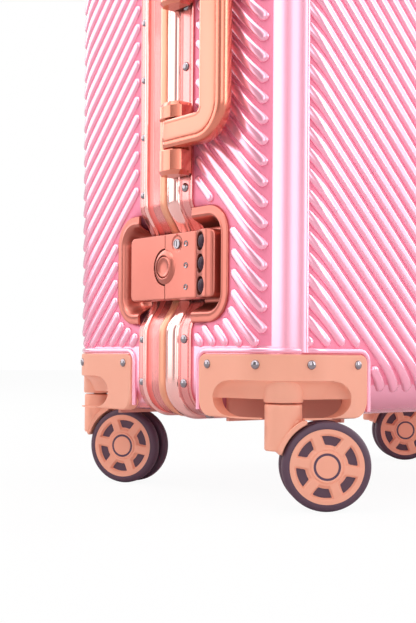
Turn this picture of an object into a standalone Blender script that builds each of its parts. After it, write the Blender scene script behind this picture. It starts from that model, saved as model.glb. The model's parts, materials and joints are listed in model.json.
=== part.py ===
"""Hard shell cabin suitcase on four twin casters, as separate pieces (metres, +Z up).

Two ribbed plastic half shells meet in a pair of aluminium frame rings. The left side (-X) carries two
combination locks and a folding side handle, the right side (+X) the hinges, the front face looks along -Y.
The telescopic handle runs inside the rear half. Every piece hangs under the empty "suitcase", which moves
them so that the middle of the whole object stands over the origin.
"""

from math import cos, pi, radians, sin

import bmesh
import bpy
import numpy as np
from mathutils import Matrix, Vector

# Case
CASE_WIDTH = 0.350
CASE_DEPTH = 0.250
CASE_HEIGHT = 0.480
FRONT_HALF_DEPTH = 0.115  # at least TRAY_REACH_FRONT + EDGE_RADIUS; the rear half likewise
EDGE_RADIUS = 0.039
CORNER_RADIUS = 0.021  # of the outline seen from the front
CORNER_LEAST = 0.014  # the outline's corners stay this round however far in it is drawn
SHELL_WALL = 0.0022
LINING_THICKNESS = 0.0012
LINING_GAP = 0.0006
TROLLEY_BAY_EDGE = 0.020  # edge radius of the rear lining, which hides the telescopic handle

# Clearances
TOUCH_GAP = 0.0003
RUNNING_GAP = 0.0003
PARTING_GAP = 0.0006

# Frame rings
FRONT_FLANGE_REACH = 0.027  # parting line to the edge of the front flange
REAR_FLANGE_REACH = 0.033
FLANGE_HEIGHT = 0.0017
BEAD_HEIGHT = 0.0042
BEAD_START = 0.0060  # the bead's reach from the parting line, near and far
BEAD_END = 0.0135
TONGUE_HEIGHT = 0.0032
LIP_DEPTH = 0.0030
RIM_FROM_PARTING = 0.012  # parting line to the rim of either shell

# Locks, measured from their centre and from the parting line
LOCK_FROM_MIDDLE = 0.1405
LOCK_RECESS = 0.012
LOCK_BEND_IN = 0.0195
LOCK_BEND_OUT = 0.0445
TRAY_REACH_FRONT = 0.065
TRAY_REACH_REAR = 0.060
TRAY_RIM = 0.002
TRAY_SLOPE = 0.008
TRAY_THICKNESS = 0.0016
LOCK_HEIGHT = 0.0448
LOCK_FRONT_REACH = 0.053
LOCK_PROUD = 0.006
LOCK_SEAT = LOCK_RECESS - 0.0052  # how deep the lock reaches below the case's side
LATCH_REACH = 0.041
LATCH_PROUD = 0.0025
LATCH_SEAT = 0.0043
LATCH_PIVOT_INSET = 0.0025
LATCH_PIVOT_DEPTH = 0.002
LATCH_PIN_RADIUS = 0.0014
LATCH_EAR = 0.0024
BUTTON_RADIUS = 0.0077
BUTTON_RING_RADIUS = 0.012
BUTTON_TRAVEL = 0.002
DIAL_RADIUS = 0.0065
DIAL_THICKNESS = 0.0076
DIAL_PITCH = 0.0145
DIAL_REACH = 0.0435
DIAL_SHAFT_RADIUS = 0.0015
KEY_RADIUS = 0.0037
KEY_REACH = 0.0135
KEY_RISE = 0.0150
KEY_DEPTH = 0.003  # how deep its well reaches below the case's side
BUTTON_FLOOR = 0.0005  # floor of the button's well over the case's side
CONTROL_PROUD = 0.0006  # button and key cylinder over the lock case
DIAL_LIFT = 0.0006  # dials' axis over the case's side
LOCK_BEVEL = 0.0012
LATCH_BEVEL = 0.0010

# Folding handles on the left side and on the top
HANDLE_SPACING = 0.108
HANDLE_PIVOT_HEIGHT = 0.013
HANDLE_PIVOT_REACH = 0.018  # parting line to the pivot
HANDLE_THICKNESS = 0.010
HANDLE_ARM_WIDTH = 0.020
HANDLE_GRIP_WIDTH = 0.024
HANDLE_LENGTH = 0.047  # pivot to the middle of the grip
HANDLE_BEND = 0.014
ARM_END = [(-0.0046, 0.0018), (-0.0030, 0.0040)]  # beyond the pivot: distance and half thickness
BRACKET_SIZE = 0.024
BRACKET_OUTER_REACH = 0.027  # pivot arm's middle to the bracket's end away from the grip's middle
BRACKET_INNER_REACH = 0.0215
BRACKET_PLATE = 0.0022
BRACKET_BEAD_GAP = 0.0010
LOBE_HEIGHT = 0.0045  # a bracket's lobe over the pivot
LOBE_SLOPE = 0.006
HANDLE_PIN_RADIUS = 0.0023
PIN_INSET = 0.002

# Hinges
HINGE_FROM_MIDDLE = 0.140
HINGE_LENGTH = 0.048
HINGE_LEAF = 0.022
HINGE_PLATE = 0.0018
KNUCKLE_RADIUS = 0.0034
HINGE_PIN_RADIUS = 0.0015

# Casters and their housings
WHEEL_RADIUS = 0.028
WHEEL_GAP = 0.001  # top of the tyre to the housing
WHEEL_WIDTH = 0.0244
TYRE_WIDTH = 0.0080
AXLE_RADIUS = 0.0035
SWIVEL_INSET = 0.0197
CASTER_TRAIL = 0.0261
STEM_RADIUS = 0.0118
KINGPIN_RADIUS = 0.005
KINGPIN_LENGTH = 0.014
FENDER_GAP = 0.0012
FENDER_THICKNESS = 0.0022
FENDER_LOW_ANGLE = 15
FENDER_HIGH_ANGLE = 66
WEB_THICKNESS = 0.0066
HOUSING_PROUD = 0.002
HOUSING_HEIGHT = 0.0385  # it ends below the flat of the front and back faces
HOUSING_RUN = 0.074  # along the front or back face
HOUSING_TO_FRAME = 0.006
POCKET_RUN = 0.066  # the shell's corner recess
POCKET_RISE = 0.026
MOUTH_RUN = 0.062
MOUTH_TOP = 0.022  # underside of the housing to the top of the wheel well's mouth
MOUTH_DEPTH = 0.006
MOUTH_LIP = 0.0025
WELL_RUN = 0.060
WELL_HEIGHT = 0.012
CAP_RADIUS = 0.0125
CAP_DROP = 0.0103  # underside of the housing up to the cap's lower end
SWIVEL_GAP = 0.001
SWIVEL_ANGLES = {  # direction in which each wheel trails, from +X towards +Y
    "front_left": -36.1,
    "rear_left": -61.9,
    "rear_right": -37.0,
    "front_right": -28.0,
}

# Telescopic handle
TROLLEY_SPACING = 0.130
TROLLEY_FROM_BACK = 0.033
TUBE_WIDTH = 0.022
TUBE_DEPTH = 0.014
TUBE_WALL = 0.0012
TUBE_STEP_IN = 0.0015  # from one tube's outside to the outside of the next one in
TUBE_STEP_UP = 0.002  # from one tube's lower end up to that of the next one in
TUBE_CLIP = 0.002  # off each corner of a tube
FOOT_HEIGHT = 0.009
FOOT_WIDTH = 0.175
GRIP_LENGTH = 0.160
GRIP_DEPTH = 0.026
GRIP_HEIGHT = 0.024
BEZEL_BORDER = 0.007
BEZEL_HEIGHT = 0.003
BEZEL_SKIRT = 0.014
BEZEL_FLOOR = 0.003
BEZEL_WALL = 0.0020
GRIP_RISE = 0.003
GRIP_BUTTON_LENGTH = 0.034
GRIP_BUTTON_DEPTH = 0.012
GRIP_BUTTON_HEIGHT = 0.006
GRIP_BUTTON_TRAVEL = 0.003
GRIP_BUTTON_PROUD = 0.0008
GRIP_BEVEL = 0.003

# Facets
FLATNESS = 1e-6
CORNER_STEPS = 5
EDGE_STEPS = 4
BEND_STEPS = 4
WHEEL_SIDES = 20
ROUND_SIDES = 16
SMALL_SIDES = 10

FRONT = -CASE_DEPTH / 2
BACK = CASE_DEPTH / 2
LEFT = -CASE_WIDTH / 2
RIGHT = CASE_WIDTH / 2
PARTING = FRONT + FRONT_HALF_DEPTH
HOUSING_BOTTOM = 2 * WHEEL_RADIUS + WHEEL_GAP  # level with the bottom of the case
BOTTOM = HOUSING_BOTTOM
TOP = BOTTOM + CASE_HEIGHT
MIDDLE = (BOTTOM + TOP) / 2
LOCK_HEIGHTS = {"lower": MIDDLE - LOCK_FROM_MIDDLE, "upper": MIDDLE + LOCK_FROM_MIDDLE}
TROLLEY_Y = BACK - TROLLEY_FROM_BACK
BEZEL_CUP = (GRIP_LENGTH / 2 + 2 * RUNNING_GAP + BEZEL_WALL, GRIP_DEPTH / 2 + 2 * RUNNING_GAP + BEZEL_WALL)
TROLLEY_BAY = TROLLEY_FROM_BACK + BEZEL_CUP[1] + LINING_GAP  # back face to the rear lining

MATERIALS = {
    "shell": ((1.0, 0.30, 0.43), 0.28, 0.0),
    "frame": ((0.60, 0.24, 0.22), 0.30, 1.0),
    "housing": ((1.0, 0.46, 0.32), 0.45, 0.0),
    "lock": ((0.62, 0.20, 0.14), 0.35, 1.0),
    "chrome": ((0.80, 0.80, 0.82), 0.10, 1.0),
    "handle": ((0.80, 0.32, 0.22), 0.28, 1.0),
    "tyre": ((0.09, 0.035, 0.065), 0.55, 0.0),
    "black": ((0.02, 0.02, 0.02), 0.40, 0.0),
    "lining": ((0.10, 0.06, 0.07), 0.85, 0.0),
    "tube": ((0.72, 0.36, 0.30), 0.25, 1.0),
}


# Helpers


def material(name):
    found = bpy.data.materials.get(name)
    if found:
        return found
    colour, roughness, metallic = MATERIALS[name]
    made = bpy.data.materials.new(name)
    made.use_nodes = True
    shader = made.node_tree.nodes["Principled BSDF"]
    shader.inputs["Base Color"].default_value = (*colour, 1.0)
    shader.inputs["Roughness"].default_value = roughness
    shader.inputs["Metallic"].default_value = metallic
    return made


def attach(obj, parent):
    """Hang an object under another one and keep its place."""
    bpy.context.view_layer.update()
    obj.parent = parent
    obj.matrix_parent_inverse = parent.matrix_world.inverted()
    return obj


def empty(name, place, parent=None, turn=0.0):
    made = bpy.data.objects.new(name, None)
    made.location = place
    made.rotation_euler.z = turn
    bpy.context.scene.collection.objects.link(made)
    return attach(made, parent) if parent else made


def solid(name, points, faces, finish, parent, origin=(0, 0, 0)):
    """An object from points in the case's own frame, with its faces turned outwards."""
    mesh = bpy.data.meshes.new(name)
    mesh.from_pydata([Vector(point) - Vector(origin) for point in points], [], faces)
    shape = bmesh.new()
    shape.from_mesh(mesh)
    bmesh.ops.recalc_face_normals(shape, faces=shape.faces)
    shape.to_mesh(mesh)
    shape.free()
    mesh.shade_smooth()
    mesh.set_sharp_from_angle(angle=radians(35))
    obj = bpy.data.objects.new(name, mesh)
    obj.location = origin
    bpy.context.scene.collection.objects.link(obj)
    if finish:
        mesh.materials.append(material(finish))
    else:
        obj.hide_render = True
        obj.display_type = "WIRE"
    return attach(obj, parent)


def split_if_warped(points, quad):
    """A four-sided face, as two triangles on its shorter diagonal if it isn't flat, so that sheets which
    follow each other split alike."""
    a, b, c, d = (points[i] for i in quad)
    normal = (b - a).cross(c - a)
    if normal.length < FLATNESS**2 or abs((d - a).dot(normal.normalized())) < FLATNESS:
        return [quad]
    if (c - a).length < (d - b).length:
        return [(quad[0], quad[1], quad[2]), (quad[0], quad[2], quad[3])]
    return [(quad[0], quad[1], quad[3]), (quad[1], quad[2], quad[3])]


def lofted(rings, closed=False):
    """Points and faces through rings of equal length: capped at both ends, or joined end to start."""
    count = len(rings[0])
    points = [Vector(point) for ring in rings for point in ring]
    faces = []
    for row in range(len(rings) if closed else len(rings) - 1):
        low, high = row * count, (row + 1) % len(rings) * count
        for i in range(count):
            after = (i + 1) % count
            faces += split_if_warped(points, (low + i, low + after, high + after, high + i))
    if not closed:
        faces.append(tuple(range(count)))
        faces.append(tuple(range((len(rings) - 1) * count, len(rings) * count)))
    return points, faces


def box(name, low, high, finish, parent, origin=(0, 0, 0)):
    rings = [[(low[0], low[1], z), (high[0], low[1], z), (high[0], high[1], z), (low[0], high[1], z)]
             for z in (low[2], high[2])]
    return solid(name, *lofted(rings), finish, parent, origin)


def turned(name, profile, centre, axis, sides, finish, parent, hollow=False):
    """A solid of revolution about a line through centre; profile holds (distance along it, radius).

    Its facets lie flat across +Z and -Z where the axis is level, and the radius is that of the flats.
    """
    along = Vector(axis).normalized()
    up = Vector((0, 0, 1)) if abs(along.z) < 0.5 else Vector((0, 1, 0))
    side = along.cross(up)
    rings = []
    for distance, radius in profile:
        reach = radius / cos(pi / sides)
        turn = [2 * pi * (i + 0.5) / sides for i in range(sides)]
        rings.append([Vector(centre) + along * distance + up * reach * cos(a) + side * reach * sin(a)
                      for a in turn])
    return solid(name, *lofted(rings, hollow), finish, parent, centre)


def prism(name, outline, low, high, place, finish, parent, origin=(0, 0, 0)):
    """An outline of (a, b) points carried from low to high; place(a, b, c) gives each point."""
    rings = [[place(a, b, c) for a, b in outline] for c in (low, high)]
    return solid(name, *lofted(rings), finish, parent, origin)


def combine(obj, operation, *others):
    for other in others:
        step = obj.modifiers.new(other.name, "BOOLEAN")
        step.operation = operation
        step.solver = "EXACT"
        step.object = other
        other.hide_render = True
        other.display_type = "WIRE"
    return obj


def cut(obj, *others):
    return combine(obj, "DIFFERENCE", *others)


def join(obj, *others):
    return combine(obj, "UNION", *others)


def soften(obj, width):
    bevel = obj.modifiers.new("edges", "BEVEL")
    bevel.width = width
    bevel.segments = 1
    bevel.limit_method = "ANGLE"
    return obj


def arc(centre, radius, first, last, steps):
    """Points on a circle in a plane, from one angle to another in degrees."""
    angles = [radians(first + (last - first) * i / steps) for i in range(steps + 1)]
    return [(centre[0] + radius * cos(a), centre[1] + radius * sin(a)) for a in angles]


# The case's outline, which the shells, linings, frames and trays share


def bend_offsets():
    """Heights above a lock's centre at which its recess is sampled, from out to in."""
    return [LOCK_BEND_OUT + (LOCK_BEND_IN - LOCK_BEND_OUT) * i / BEND_STEPS for i in range(BEND_STEPS + 1)]


def lock_dip(away):
    """How far the side sinks at a distance above or below a lock's centre."""
    share = min(1.0, max(0.0, (LOCK_BEND_OUT - abs(away)) / (LOCK_BEND_OUT - LOCK_BEND_IN)))
    return LOCK_RECESS * share * share * (3 - 2 * share)


def case_outline(inset, dip):
    """Closed loop of (x, z) around the case; dip is the share of the lock recesses that it follows."""
    radius = max(CORNER_RADIUS - inset, CORNER_LEAST)
    across = CASE_WIDTH / 2 - inset - radius
    low, high = BOTTOM + inset + radius, TOP - inset - radius
    loop = arc((across, low), radius, -90, 0, CORNER_STEPS)
    loop += arc((across, high), radius, 0, 90, CORNER_STEPS)
    loop += arc((-across, high), radius, 90, 180, CORNER_STEPS)
    for centre in (LOCK_HEIGHTS["upper"], LOCK_HEIGHTS["lower"]):
        offsets = bend_offsets()
        for away in offsets + [-step for step in reversed(offsets)]:
            loop.append((LEFT + inset + dip * lock_dip(away), centre + away))
    loop += arc((-across, low), radius, 180, 270, CORNER_STEPS)
    return loop


def half_solid(name, half, offset, face_offset, edge, rim, parent, finish=None):
    """The solid inside one half's wall: offset is how far in its sides lie, face_offset its big face."""
    face, inwards, tray_reach, depth = (
        (FRONT, 1, TRAY_REACH_FRONT, FRONT_HALF_DEPTH) if half == "front"
        else (BACK, -1, TRAY_REACH_REAR, CASE_DEPTH - FRONT_HALF_DEPTH)
    )
    slope_start = depth - tray_reach + TRAY_RIM
    rows = [(depth - rim, offset, 1), (slope_start + TRAY_SLOPE, offset, 1), (slope_start, offset, 0)]
    for i in range(EDGE_STEPS + 1):
        turn = pi / 2 * i / EDGE_STEPS
        rows.append((face_offset + edge * (1 - sin(turn)), offset + edge * (1 - cos(turn)), 0))
    rings = [[(x, face + inwards * distance, z) for x, z in case_outline(inset, dip)]
             for distance, inset, dip in rows]
    return solid(name, *lofted(rings), finish, parent)


def corner_blocks(half, margin, parent):
    """The two boxes that the casters take out of a half's lower corners, grown by margin."""
    blocks = []
    for side in (-1, 1):
        inner = side * (CASE_WIDTH / 2 - POCKET_RUN - margin)
        outer = side * CASE_WIDTH
        near = FRONT + POCKET_RUN + margin if half == "front" else BACK - POCKET_RUN - margin
        far = 2 * FRONT if half == "front" else 2 * BACK
        blocks.append(box(f"corner_block_{half}_{margin:.4f}_{side}",
                          (min(inner, outer), min(near, far), 0),
                          (max(inner, outer), max(near, far), BOTTOM + POCKET_RISE + margin), None, parent))
    return blocks


def cup(name, half, offset, thickness, face_offset, edge, rim, finish, parent):
    """A half's wall or lining: an outer solid less an inner one, both clear of the caster recesses."""
    outer = half_solid(name, half, offset, face_offset, edge, rim, parent, finish)
    inner = half_solid(f"{name}_hollow", half, offset + thickness, face_offset + thickness,
                       edge - thickness, rim - thickness, parent)
    cut(inner, *corner_blocks(half, offset + thickness, parent))
    return cut(outer, *corner_blocks(half, offset, parent), inner)


def shell_envelope(half, parent):
    """A shell's outer solid grown by the touching gap, to cut what is fitted against it."""
    envelope = half_solid(f"{half}_envelope", half, -TOUCH_GAP, -TOUCH_GAP, EDGE_RADIUS + TOUCH_GAP,
                          RIM_FROM_PARTING, parent)
    return cut(envelope, *corner_blocks(half, -TOUCH_GAP, parent))


def frame_ring(name, profile, parent):
    """A frame profile of (y, height above the case's side) points carried around the case."""
    rings = [[(x, y, z) for x, z in case_outline(-height, 1)] for y, height in profile]
    return solid(name, *lofted(rings, closed=True), "frame", parent)


# Assemblies


def make_shell(half, parent):
    shell = cup(f"{half}_shell", half, 0, SHELL_WALL, 0, EDGE_RADIUS, RIM_FROM_PARTING, "shell", parent)
    offset = SHELL_WALL + LINING_GAP
    face_offset, edge = ((offset, EDGE_RADIUS - offset) if half == "front"
                         else (TROLLEY_BAY, TROLLEY_BAY_EDGE))
    cup(f"{half}_lining", half, offset, LINING_THICKNESS, face_offset, edge,
        RIM_FROM_PARTING + LINING_GAP, "lining", parent)
    return shell


def make_frames(front_parent, rear_parent):
    """Two L-shaped rings: a flange over each shell, a lip behind its rim, and a bead at the parting line."""
    seat = RIM_FROM_PARTING - TOUCH_GAP
    flange = PARTING - FRONT_FLANGE_REACH
    joint = PARTING - PARTING_GAP / 2
    frame_ring("front_frame", [
        (flange, TOUCH_GAP), (flange, FLANGE_HEIGHT), (PARTING - BEAD_END, FLANGE_HEIGHT),
        (PARTING - BEAD_END + 0.0020, BEAD_HEIGHT - 0.0008), (PARTING - BEAD_START, BEAD_HEIGHT),
        (joint, TONGUE_HEIGHT),
        (joint, -LIP_DEPTH), (PARTING - seat, -LIP_DEPTH), (PARTING - seat, TOUCH_GAP),
    ], front_parent)
    flange = PARTING + REAR_FLANGE_REACH
    joint = PARTING + PARTING_GAP / 2
    frame_ring("rear_frame", [
        (flange, TOUCH_GAP), (flange, FLANGE_HEIGHT), (PARTING + 0.0265, FLANGE_HEIGHT),
        (PARTING + 0.0252, TONGUE_HEIGHT), (PARTING + 0.0235, FLANGE_HEIGHT),
        (PARTING + 0.0090, FLANGE_HEIGHT), (PARTING + 0.0080, TONGUE_HEIGHT), (joint, TONGUE_HEIGHT),
        (joint, -LIP_DEPTH), (PARTING + seat, -LIP_DEPTH), (PARTING + seat, TOUCH_GAP),
    ], rear_parent)


def make_housing(where, envelope, parent):
    """A caster housing: a boxy corner around the shell, with a wheel well and a boss for the kingpin."""
    half, side = where.split("_")
    sx = -1 if side == "left" else 1
    sy = -1 if half == "front" else 1
    corner = (sx * CASE_WIDTH / 2, FRONT if half == "front" else BACK)
    flange = FRONT_FLANGE_REACH if half == "front" else REAR_FLANGE_REACH
    depth = FRONT_HALF_DEPTH if half == "front" else CASE_DEPTH - FRONT_HALF_DEPTH
    run_y = depth - flange - HOUSING_TO_FRAME
    name = f"wheel_housing_{where}"

    def place(a, b, z):
        """a and b are distances in from the corner, along the face and along the side."""
        return (corner[0] - sx * a, corner[1] - sy * b, z)

    def corner_outline(inset, run_a, run_b):
        radius = EDGE_RADIUS - inset
        bend = arc((EDGE_RADIUS, EDGE_RADIUS), radius, 270, 180, CORNER_STEPS)
        return [(run_a, run_b), (run_a, inset), *bend, (inset, run_b)]

    axis = place(SWIVEL_INSET, SWIVEL_INSET, 0)
    up = (0, 0, 1)
    body = prism(name, corner_outline(-HOUSING_PROUD, HOUSING_RUN, run_y),
                 HOUSING_BOTTOM, HOUSING_BOTTOM + HOUSING_HEIGHT, place, "housing", parent)
    outside = -2 * HOUSING_PROUD
    wall = corner_outline(MOUTH_DEPTH - HOUSING_PROUD, MOUTH_RUN, MOUTH_RUN)
    mouth = prism(f"{name}_mouth", corner_outline(outside, MOUTH_RUN, MOUTH_RUN),
                  HOUSING_BOTTOM + MOUTH_LIP, HOUSING_BOTTOM + MOUTH_TOP, place, None, parent)
    keep = prism(f"{name}_keep", [(a + (i == 0) * HOUSING_RUN, b + (i == 0) * HOUSING_RUN)
                                  for i, (a, b) in enumerate(wall)],
                 0, HOUSING_BOTTOM + CASE_HEIGHT, place, None, parent)
    cut(mouth, keep)
    inside = MOUTH_DEPTH - HOUSING_PROUD - 2 * TOUCH_GAP
    well = prism(f"{name}_well", corner_outline(inside, WELL_RUN, WELL_RUN),
                 0, HOUSING_BOTTOM + WELL_HEIGHT, place, None, parent)
    cap_low = HOUSING_BOTTOM + CAP_DROP
    cap_high = BOTTOM + POCKET_RISE - TOUCH_GAP
    notch_radius = CAP_RADIUS + 2 * SWIVEL_GAP
    notch = turned(f"{name}_notch", [(0, notch_radius), (cap_low, notch_radius)],
                   axis, up, ROUND_SIDES, None, parent)
    cap = turned(f"{name}_cap", [(cap_low, CAP_RADIUS), (cap_high - TOUCH_GAP, CAP_RADIUS)],
                 axis, up, ROUND_SIDES, None, parent)
    pin_top = cap_low + KINGPIN_LENGTH
    bore_radius = KINGPIN_RADIUS + RUNNING_GAP
    bore = turned(f"{name}_bore", [(0, bore_radius), (pin_top, bore_radius)],
                  axis, up, ROUND_SIDES, None, parent)
    cut(body, envelope, mouth, well, notch)
    join(body, cap)
    return cut(body, bore)


def make_caster(where, parent):
    """A swivelling fork with a kingpin and a fender, and a twin wheel on its own axle."""
    half, side = where.split("_")
    axis_x = (LEFT + SWIVEL_INSET) if side == "left" else (RIGHT - SWIVEL_INSET)
    axis_y = (FRONT + SWIVEL_INSET) if half == "front" else (BACK - SWIVEL_INSET)
    swivel = empty(f"swivel_{where}", (axis_x, axis_y, 0), parent)
    hub = Vector((axis_x + CASTER_TRAIL, axis_y, WHEEL_RADIUS))
    stem_top = HOUSING_BOTTOM + CAP_DROP - SWIVEL_GAP
    name = f"caster_fork_{where}"
    up, axle = (0, 0, 1), (0, 1, 0)
    half_width = WHEEL_WIDTH / 2
    fork = turned(name, [(WHEEL_RADIUS + 0.006, STEM_RADIUS), (stem_top, STEM_RADIUS),
                         (stem_top, KINGPIN_RADIUS), (stem_top + KINGPIN_LENGTH, KINGPIN_RADIUS)],
                  (axis_x, axis_y, 0), up, ROUND_SIDES, "housing", swivel)
    fender_in = WHEEL_RADIUS + FENDER_GAP
    fender_out = fender_in + FENDER_THICKNESS
    angles = (180 - FENDER_LOW_ANGLE, 180 - FENDER_HIGH_ANGLE)
    outline = (arc((hub.x, hub.z), fender_out, *angles, CORNER_STEPS)
               + arc((hub.x, hub.z), fender_in - 0.001, *reversed(angles), CORNER_STEPS))
    fender = prism(f"{name}_fender", outline, -half_width, half_width,
                   lambda a, b, c: (a, hub.y + c, b), None, swivel)
    clearance = turned(f"{name}_clearance", [(-WHEEL_WIDTH, fender_in), (WHEEL_WIDTH, fender_in)],
                       hub, axle, WHEEL_SIDES, None, swivel)
    low, high = radians(180 - FENDER_LOW_ANGLE), radians(180 - FENDER_HIGH_ANGLE)
    reach = fender_in + FENDER_THICKNESS / 2
    boss = AXLE_RADIUS + 0.0035
    web_outline = [(hub.x + reach * cos(low), hub.z + reach * sin(low)),
                   (hub.x + reach * cos(high), hub.z + reach * sin(high)),
                   (hub.x + boss * 0.6, hub.z + boss * 0.8), (hub.x + boss, hub.z),
                   (hub.x + boss * 0.6, hub.z - boss * 0.8), (hub.x - boss * 0.6, hub.z - boss * 0.8)]
    web = prism(f"{name}_web", web_outline, -WEB_THICKNESS / 2, WEB_THICKNESS / 2,
                lambda a, b, c: (a, hub.y + c, b), None, swivel)
    bore_radius = AXLE_RADIUS + RUNNING_GAP
    bore = turned(f"{name}_bore", [(-WHEEL_WIDTH, bore_radius), (WHEEL_WIDTH, bore_radius)],
                  hub, axle, ROUND_SIDES, None, swivel)
    join(fork, fender)
    cut(fork, clearance)
    join(fork, web)
    cut(fork, bore)
    inner = half_width - TYRE_WIDTH
    shoulder = WHEEL_RADIUS - 0.0015
    turned(f"caster_wheel_{where}", [
        (-half_width, shoulder), (-half_width + 0.0015, WHEEL_RADIUS), (-inner - 0.0010, WHEEL_RADIUS),
        (-inner, shoulder), (-inner, AXLE_RADIUS), (inner, AXLE_RADIUS), (inner, shoulder),
        (inner + 0.0010, WHEEL_RADIUS), (half_width - 0.0015, WHEEL_RADIUS), (half_width, shoulder),
    ], hub, axle, WHEEL_SIDES, "tyre", swivel)
    swivel.rotation_euler.z = radians(SWIVEL_ANGLES[where])


def make_tray(name, centre, near, far, sign, parent, ears=None):
    """A sheet that lies on the recessed side wall around a lock; near and far are distances from the
    parting line, and sign says on which side of it."""
    reach = TRAY_REACH_FRONT if sign < 0 else TRAY_REACH_REAR
    slope_end = reach - TRAY_RIM
    columns = [(far, 0), (slope_end, 0), (slope_end - TRAY_SLOPE, 1), (near, 1)]
    offsets = bend_offsets()[1:]
    rows = offsets + [-step for step in reversed(offsets)]
    sheets = [[[(LEFT + dip * lock_dip(away) - TOUCH_GAP - height, PARTING + sign * reach_y, centre + away)
                for away in rows] for reach_y, dip in columns] for height in (0, TRAY_THICKNESS)]
    rings = [lower + upper[::-1] for lower, upper in zip(*sheets)]
    tray = solid(name, *lofted(rings), "lock", parent)
    if ears:
        join(tray, *ears)
    return tray


def make_lock(which, front_parent, rear_parent):
    """One combination lock: trays, lock case with its dials, key cylinder and button, and the latch."""
    z = LOCK_HEIGHTS[which]
    half_height = LOCK_HEIGHT / 2
    out, up = (-1, 0, 0), (0, 0, 1)
    front_edge = FRONT_FLANGE_REACH + 2 * TOUCH_GAP
    make_tray(f"lock_tray_front_{which}", z, front_edge, TRAY_REACH_FRONT, -1, front_parent)

    pivot = Vector((LEFT + LATCH_PIVOT_DEPTH, PARTING + LATCH_REACH - LATCH_PIVOT_INSET, z))
    ear_start = half_height + TOUCH_GAP
    ear_depth = lock_dip(ear_start + LATCH_EAR) - 2 * TOUCH_GAP - TRAY_THICKNESS / 2
    ears = []
    for sign in (-1, 1):
        near, far = sorted((pivot.z + sign * ear_start, pivot.z + sign * (ear_start + LATCH_EAR)))
        ear = box(f"latch_ear_{which}_{sign}", (pivot.x - 0.0028, pivot.y - 0.0028, near),
                  (LEFT + ear_depth, pivot.y + 0.0028, far), None, rear_parent)
        eye = turned(f"latch_eye_{which}_{sign}", [(-LOCK_HEIGHT, LATCH_PIN_RADIUS + RUNNING_GAP),
                                                   (LOCK_HEIGHT, LATCH_PIN_RADIUS + RUNNING_GAP)],
                     pivot, up, SMALL_SIDES, None, rear_parent)
        ears.append(cut(ear, eye))
    make_tray(f"lock_tray_rear_{which}", z, REAR_FLANGE_REACH + 2 * TOUCH_GAP, TRAY_REACH_REAR, 1,
              rear_parent, ears)

    seam = Vector((LEFT, PARTING, z))
    case = soften(box(f"lock_case_{which}", (LEFT - LOCK_PROUD, PARTING - LOCK_FRONT_REACH, z - half_height),
                      (LEFT + LOCK_SEAT, PARTING - PARTING_GAP / 2, z + half_height),
                      "lock", front_parent), LOCK_BEVEL)
    ring = turned(f"button_ring_{which}",
                  [(-LATCH_SEAT, BUTTON_RING_RADIUS), (LOCK_PROUD, BUTTON_RING_RADIUS)],
                  seam, out, ROUND_SIDES, None, front_parent)
    well_radius = BUTTON_RADIUS + RUNNING_GAP
    button_well = turned(f"button_well_{which}",
                         [(BUTTON_FLOOR, well_radius), (2 * LOCK_PROUD, well_radius)],
                         seam, out, ROUND_SIDES, None, front_parent)
    key_centre = seam + Vector((0, -KEY_REACH, KEY_RISE))
    well_radius = KEY_RADIUS + RUNNING_GAP
    key_well = turned(f"key_well_{which}", [(-KEY_DEPTH, well_radius), (2 * LOCK_PROUD, well_radius)],
                      key_centre, out, ROUND_SIDES, None, front_parent)
    dial_centre = seam + Vector((-DIAL_LIFT, -DIAL_REACH, 0))
    slots = []
    for place in (-1, 0, 1):
        middle = dial_centre + Vector((0, 0, place * DIAL_PITCH))
        room = Vector((2 * LOCK_SEAT, DIAL_RADIUS / cos(pi / SMALL_SIDES) + RUNNING_GAP,
                       DIAL_THICKNESS / 2 + RUNNING_GAP))
        slots.append(box(f"dial_slot_{which}_{place}", middle - room, middle + room, None, front_parent))
        bore = DIAL_SHAFT_RADIUS + RUNNING_GAP
        ends = DIAL_THICKNESS / 2
        turned(f"lock_dial_{which}_{place + 2}", [(-ends, DIAL_RADIUS), (ends, DIAL_RADIUS), (ends, bore),
                                                  (-ends, bore)],
               middle, up, SMALL_SIDES, "black", front_parent, hollow=True)
    shaft_half = DIAL_PITCH + DIAL_THICKNESS / 2 + 0.001
    shaft = turned(f"dial_shaft_{which}",
                   [(-shaft_half, DIAL_SHAFT_RADIUS), (shaft_half, DIAL_SHAFT_RADIUS)],
                   dial_centre, up, SMALL_SIDES, None, front_parent)
    join(case, ring)
    cut(case, button_well, key_well, *slots)
    join(case, shaft)
    face = LOCK_PROUD + CONTROL_PROUD
    turned(f"lock_button_{which}",
           [(BUTTON_FLOOR + BUTTON_TRAVEL + RUNNING_GAP, BUTTON_RADIUS), (face, BUTTON_RADIUS)],
           seam, out, ROUND_SIDES, "lock", front_parent)
    turned(f"key_cylinder_{which}", [(TOUCH_GAP - KEY_DEPTH, KEY_RADIUS), (face, KEY_RADIUS)],
           key_centre, out, ROUND_SIDES, "chrome", front_parent)

    latch = box(f"latch_cover_{which}", (LEFT - LATCH_PROUD, PARTING + PARTING_GAP / 2, z - half_height),
                (LEFT + LATCH_SEAT, PARTING + LATCH_REACH, z + half_height), "lock", rear_parent, pivot)
    soften(latch, LATCH_BEVEL)
    notch = turned(f"latch_notch_{which}", [(-LOCK_RECESS, BUTTON_RING_RADIUS + PARTING_GAP),
                                            (LOCK_RECESS, BUTTON_RING_RADIUS + PARTING_GAP)],
                   seam, out, ROUND_SIDES, None, rear_parent)
    pin_half = half_height + LATCH_EAR
    pin = turned(f"latch_pin_{which}", [(-pin_half, LATCH_PIN_RADIUS), (pin_half, LATCH_PIN_RADIUS)],
                 pivot, up, SMALL_SIDES, None, rear_parent)
    join(cut(latch, notch), pin)


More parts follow.
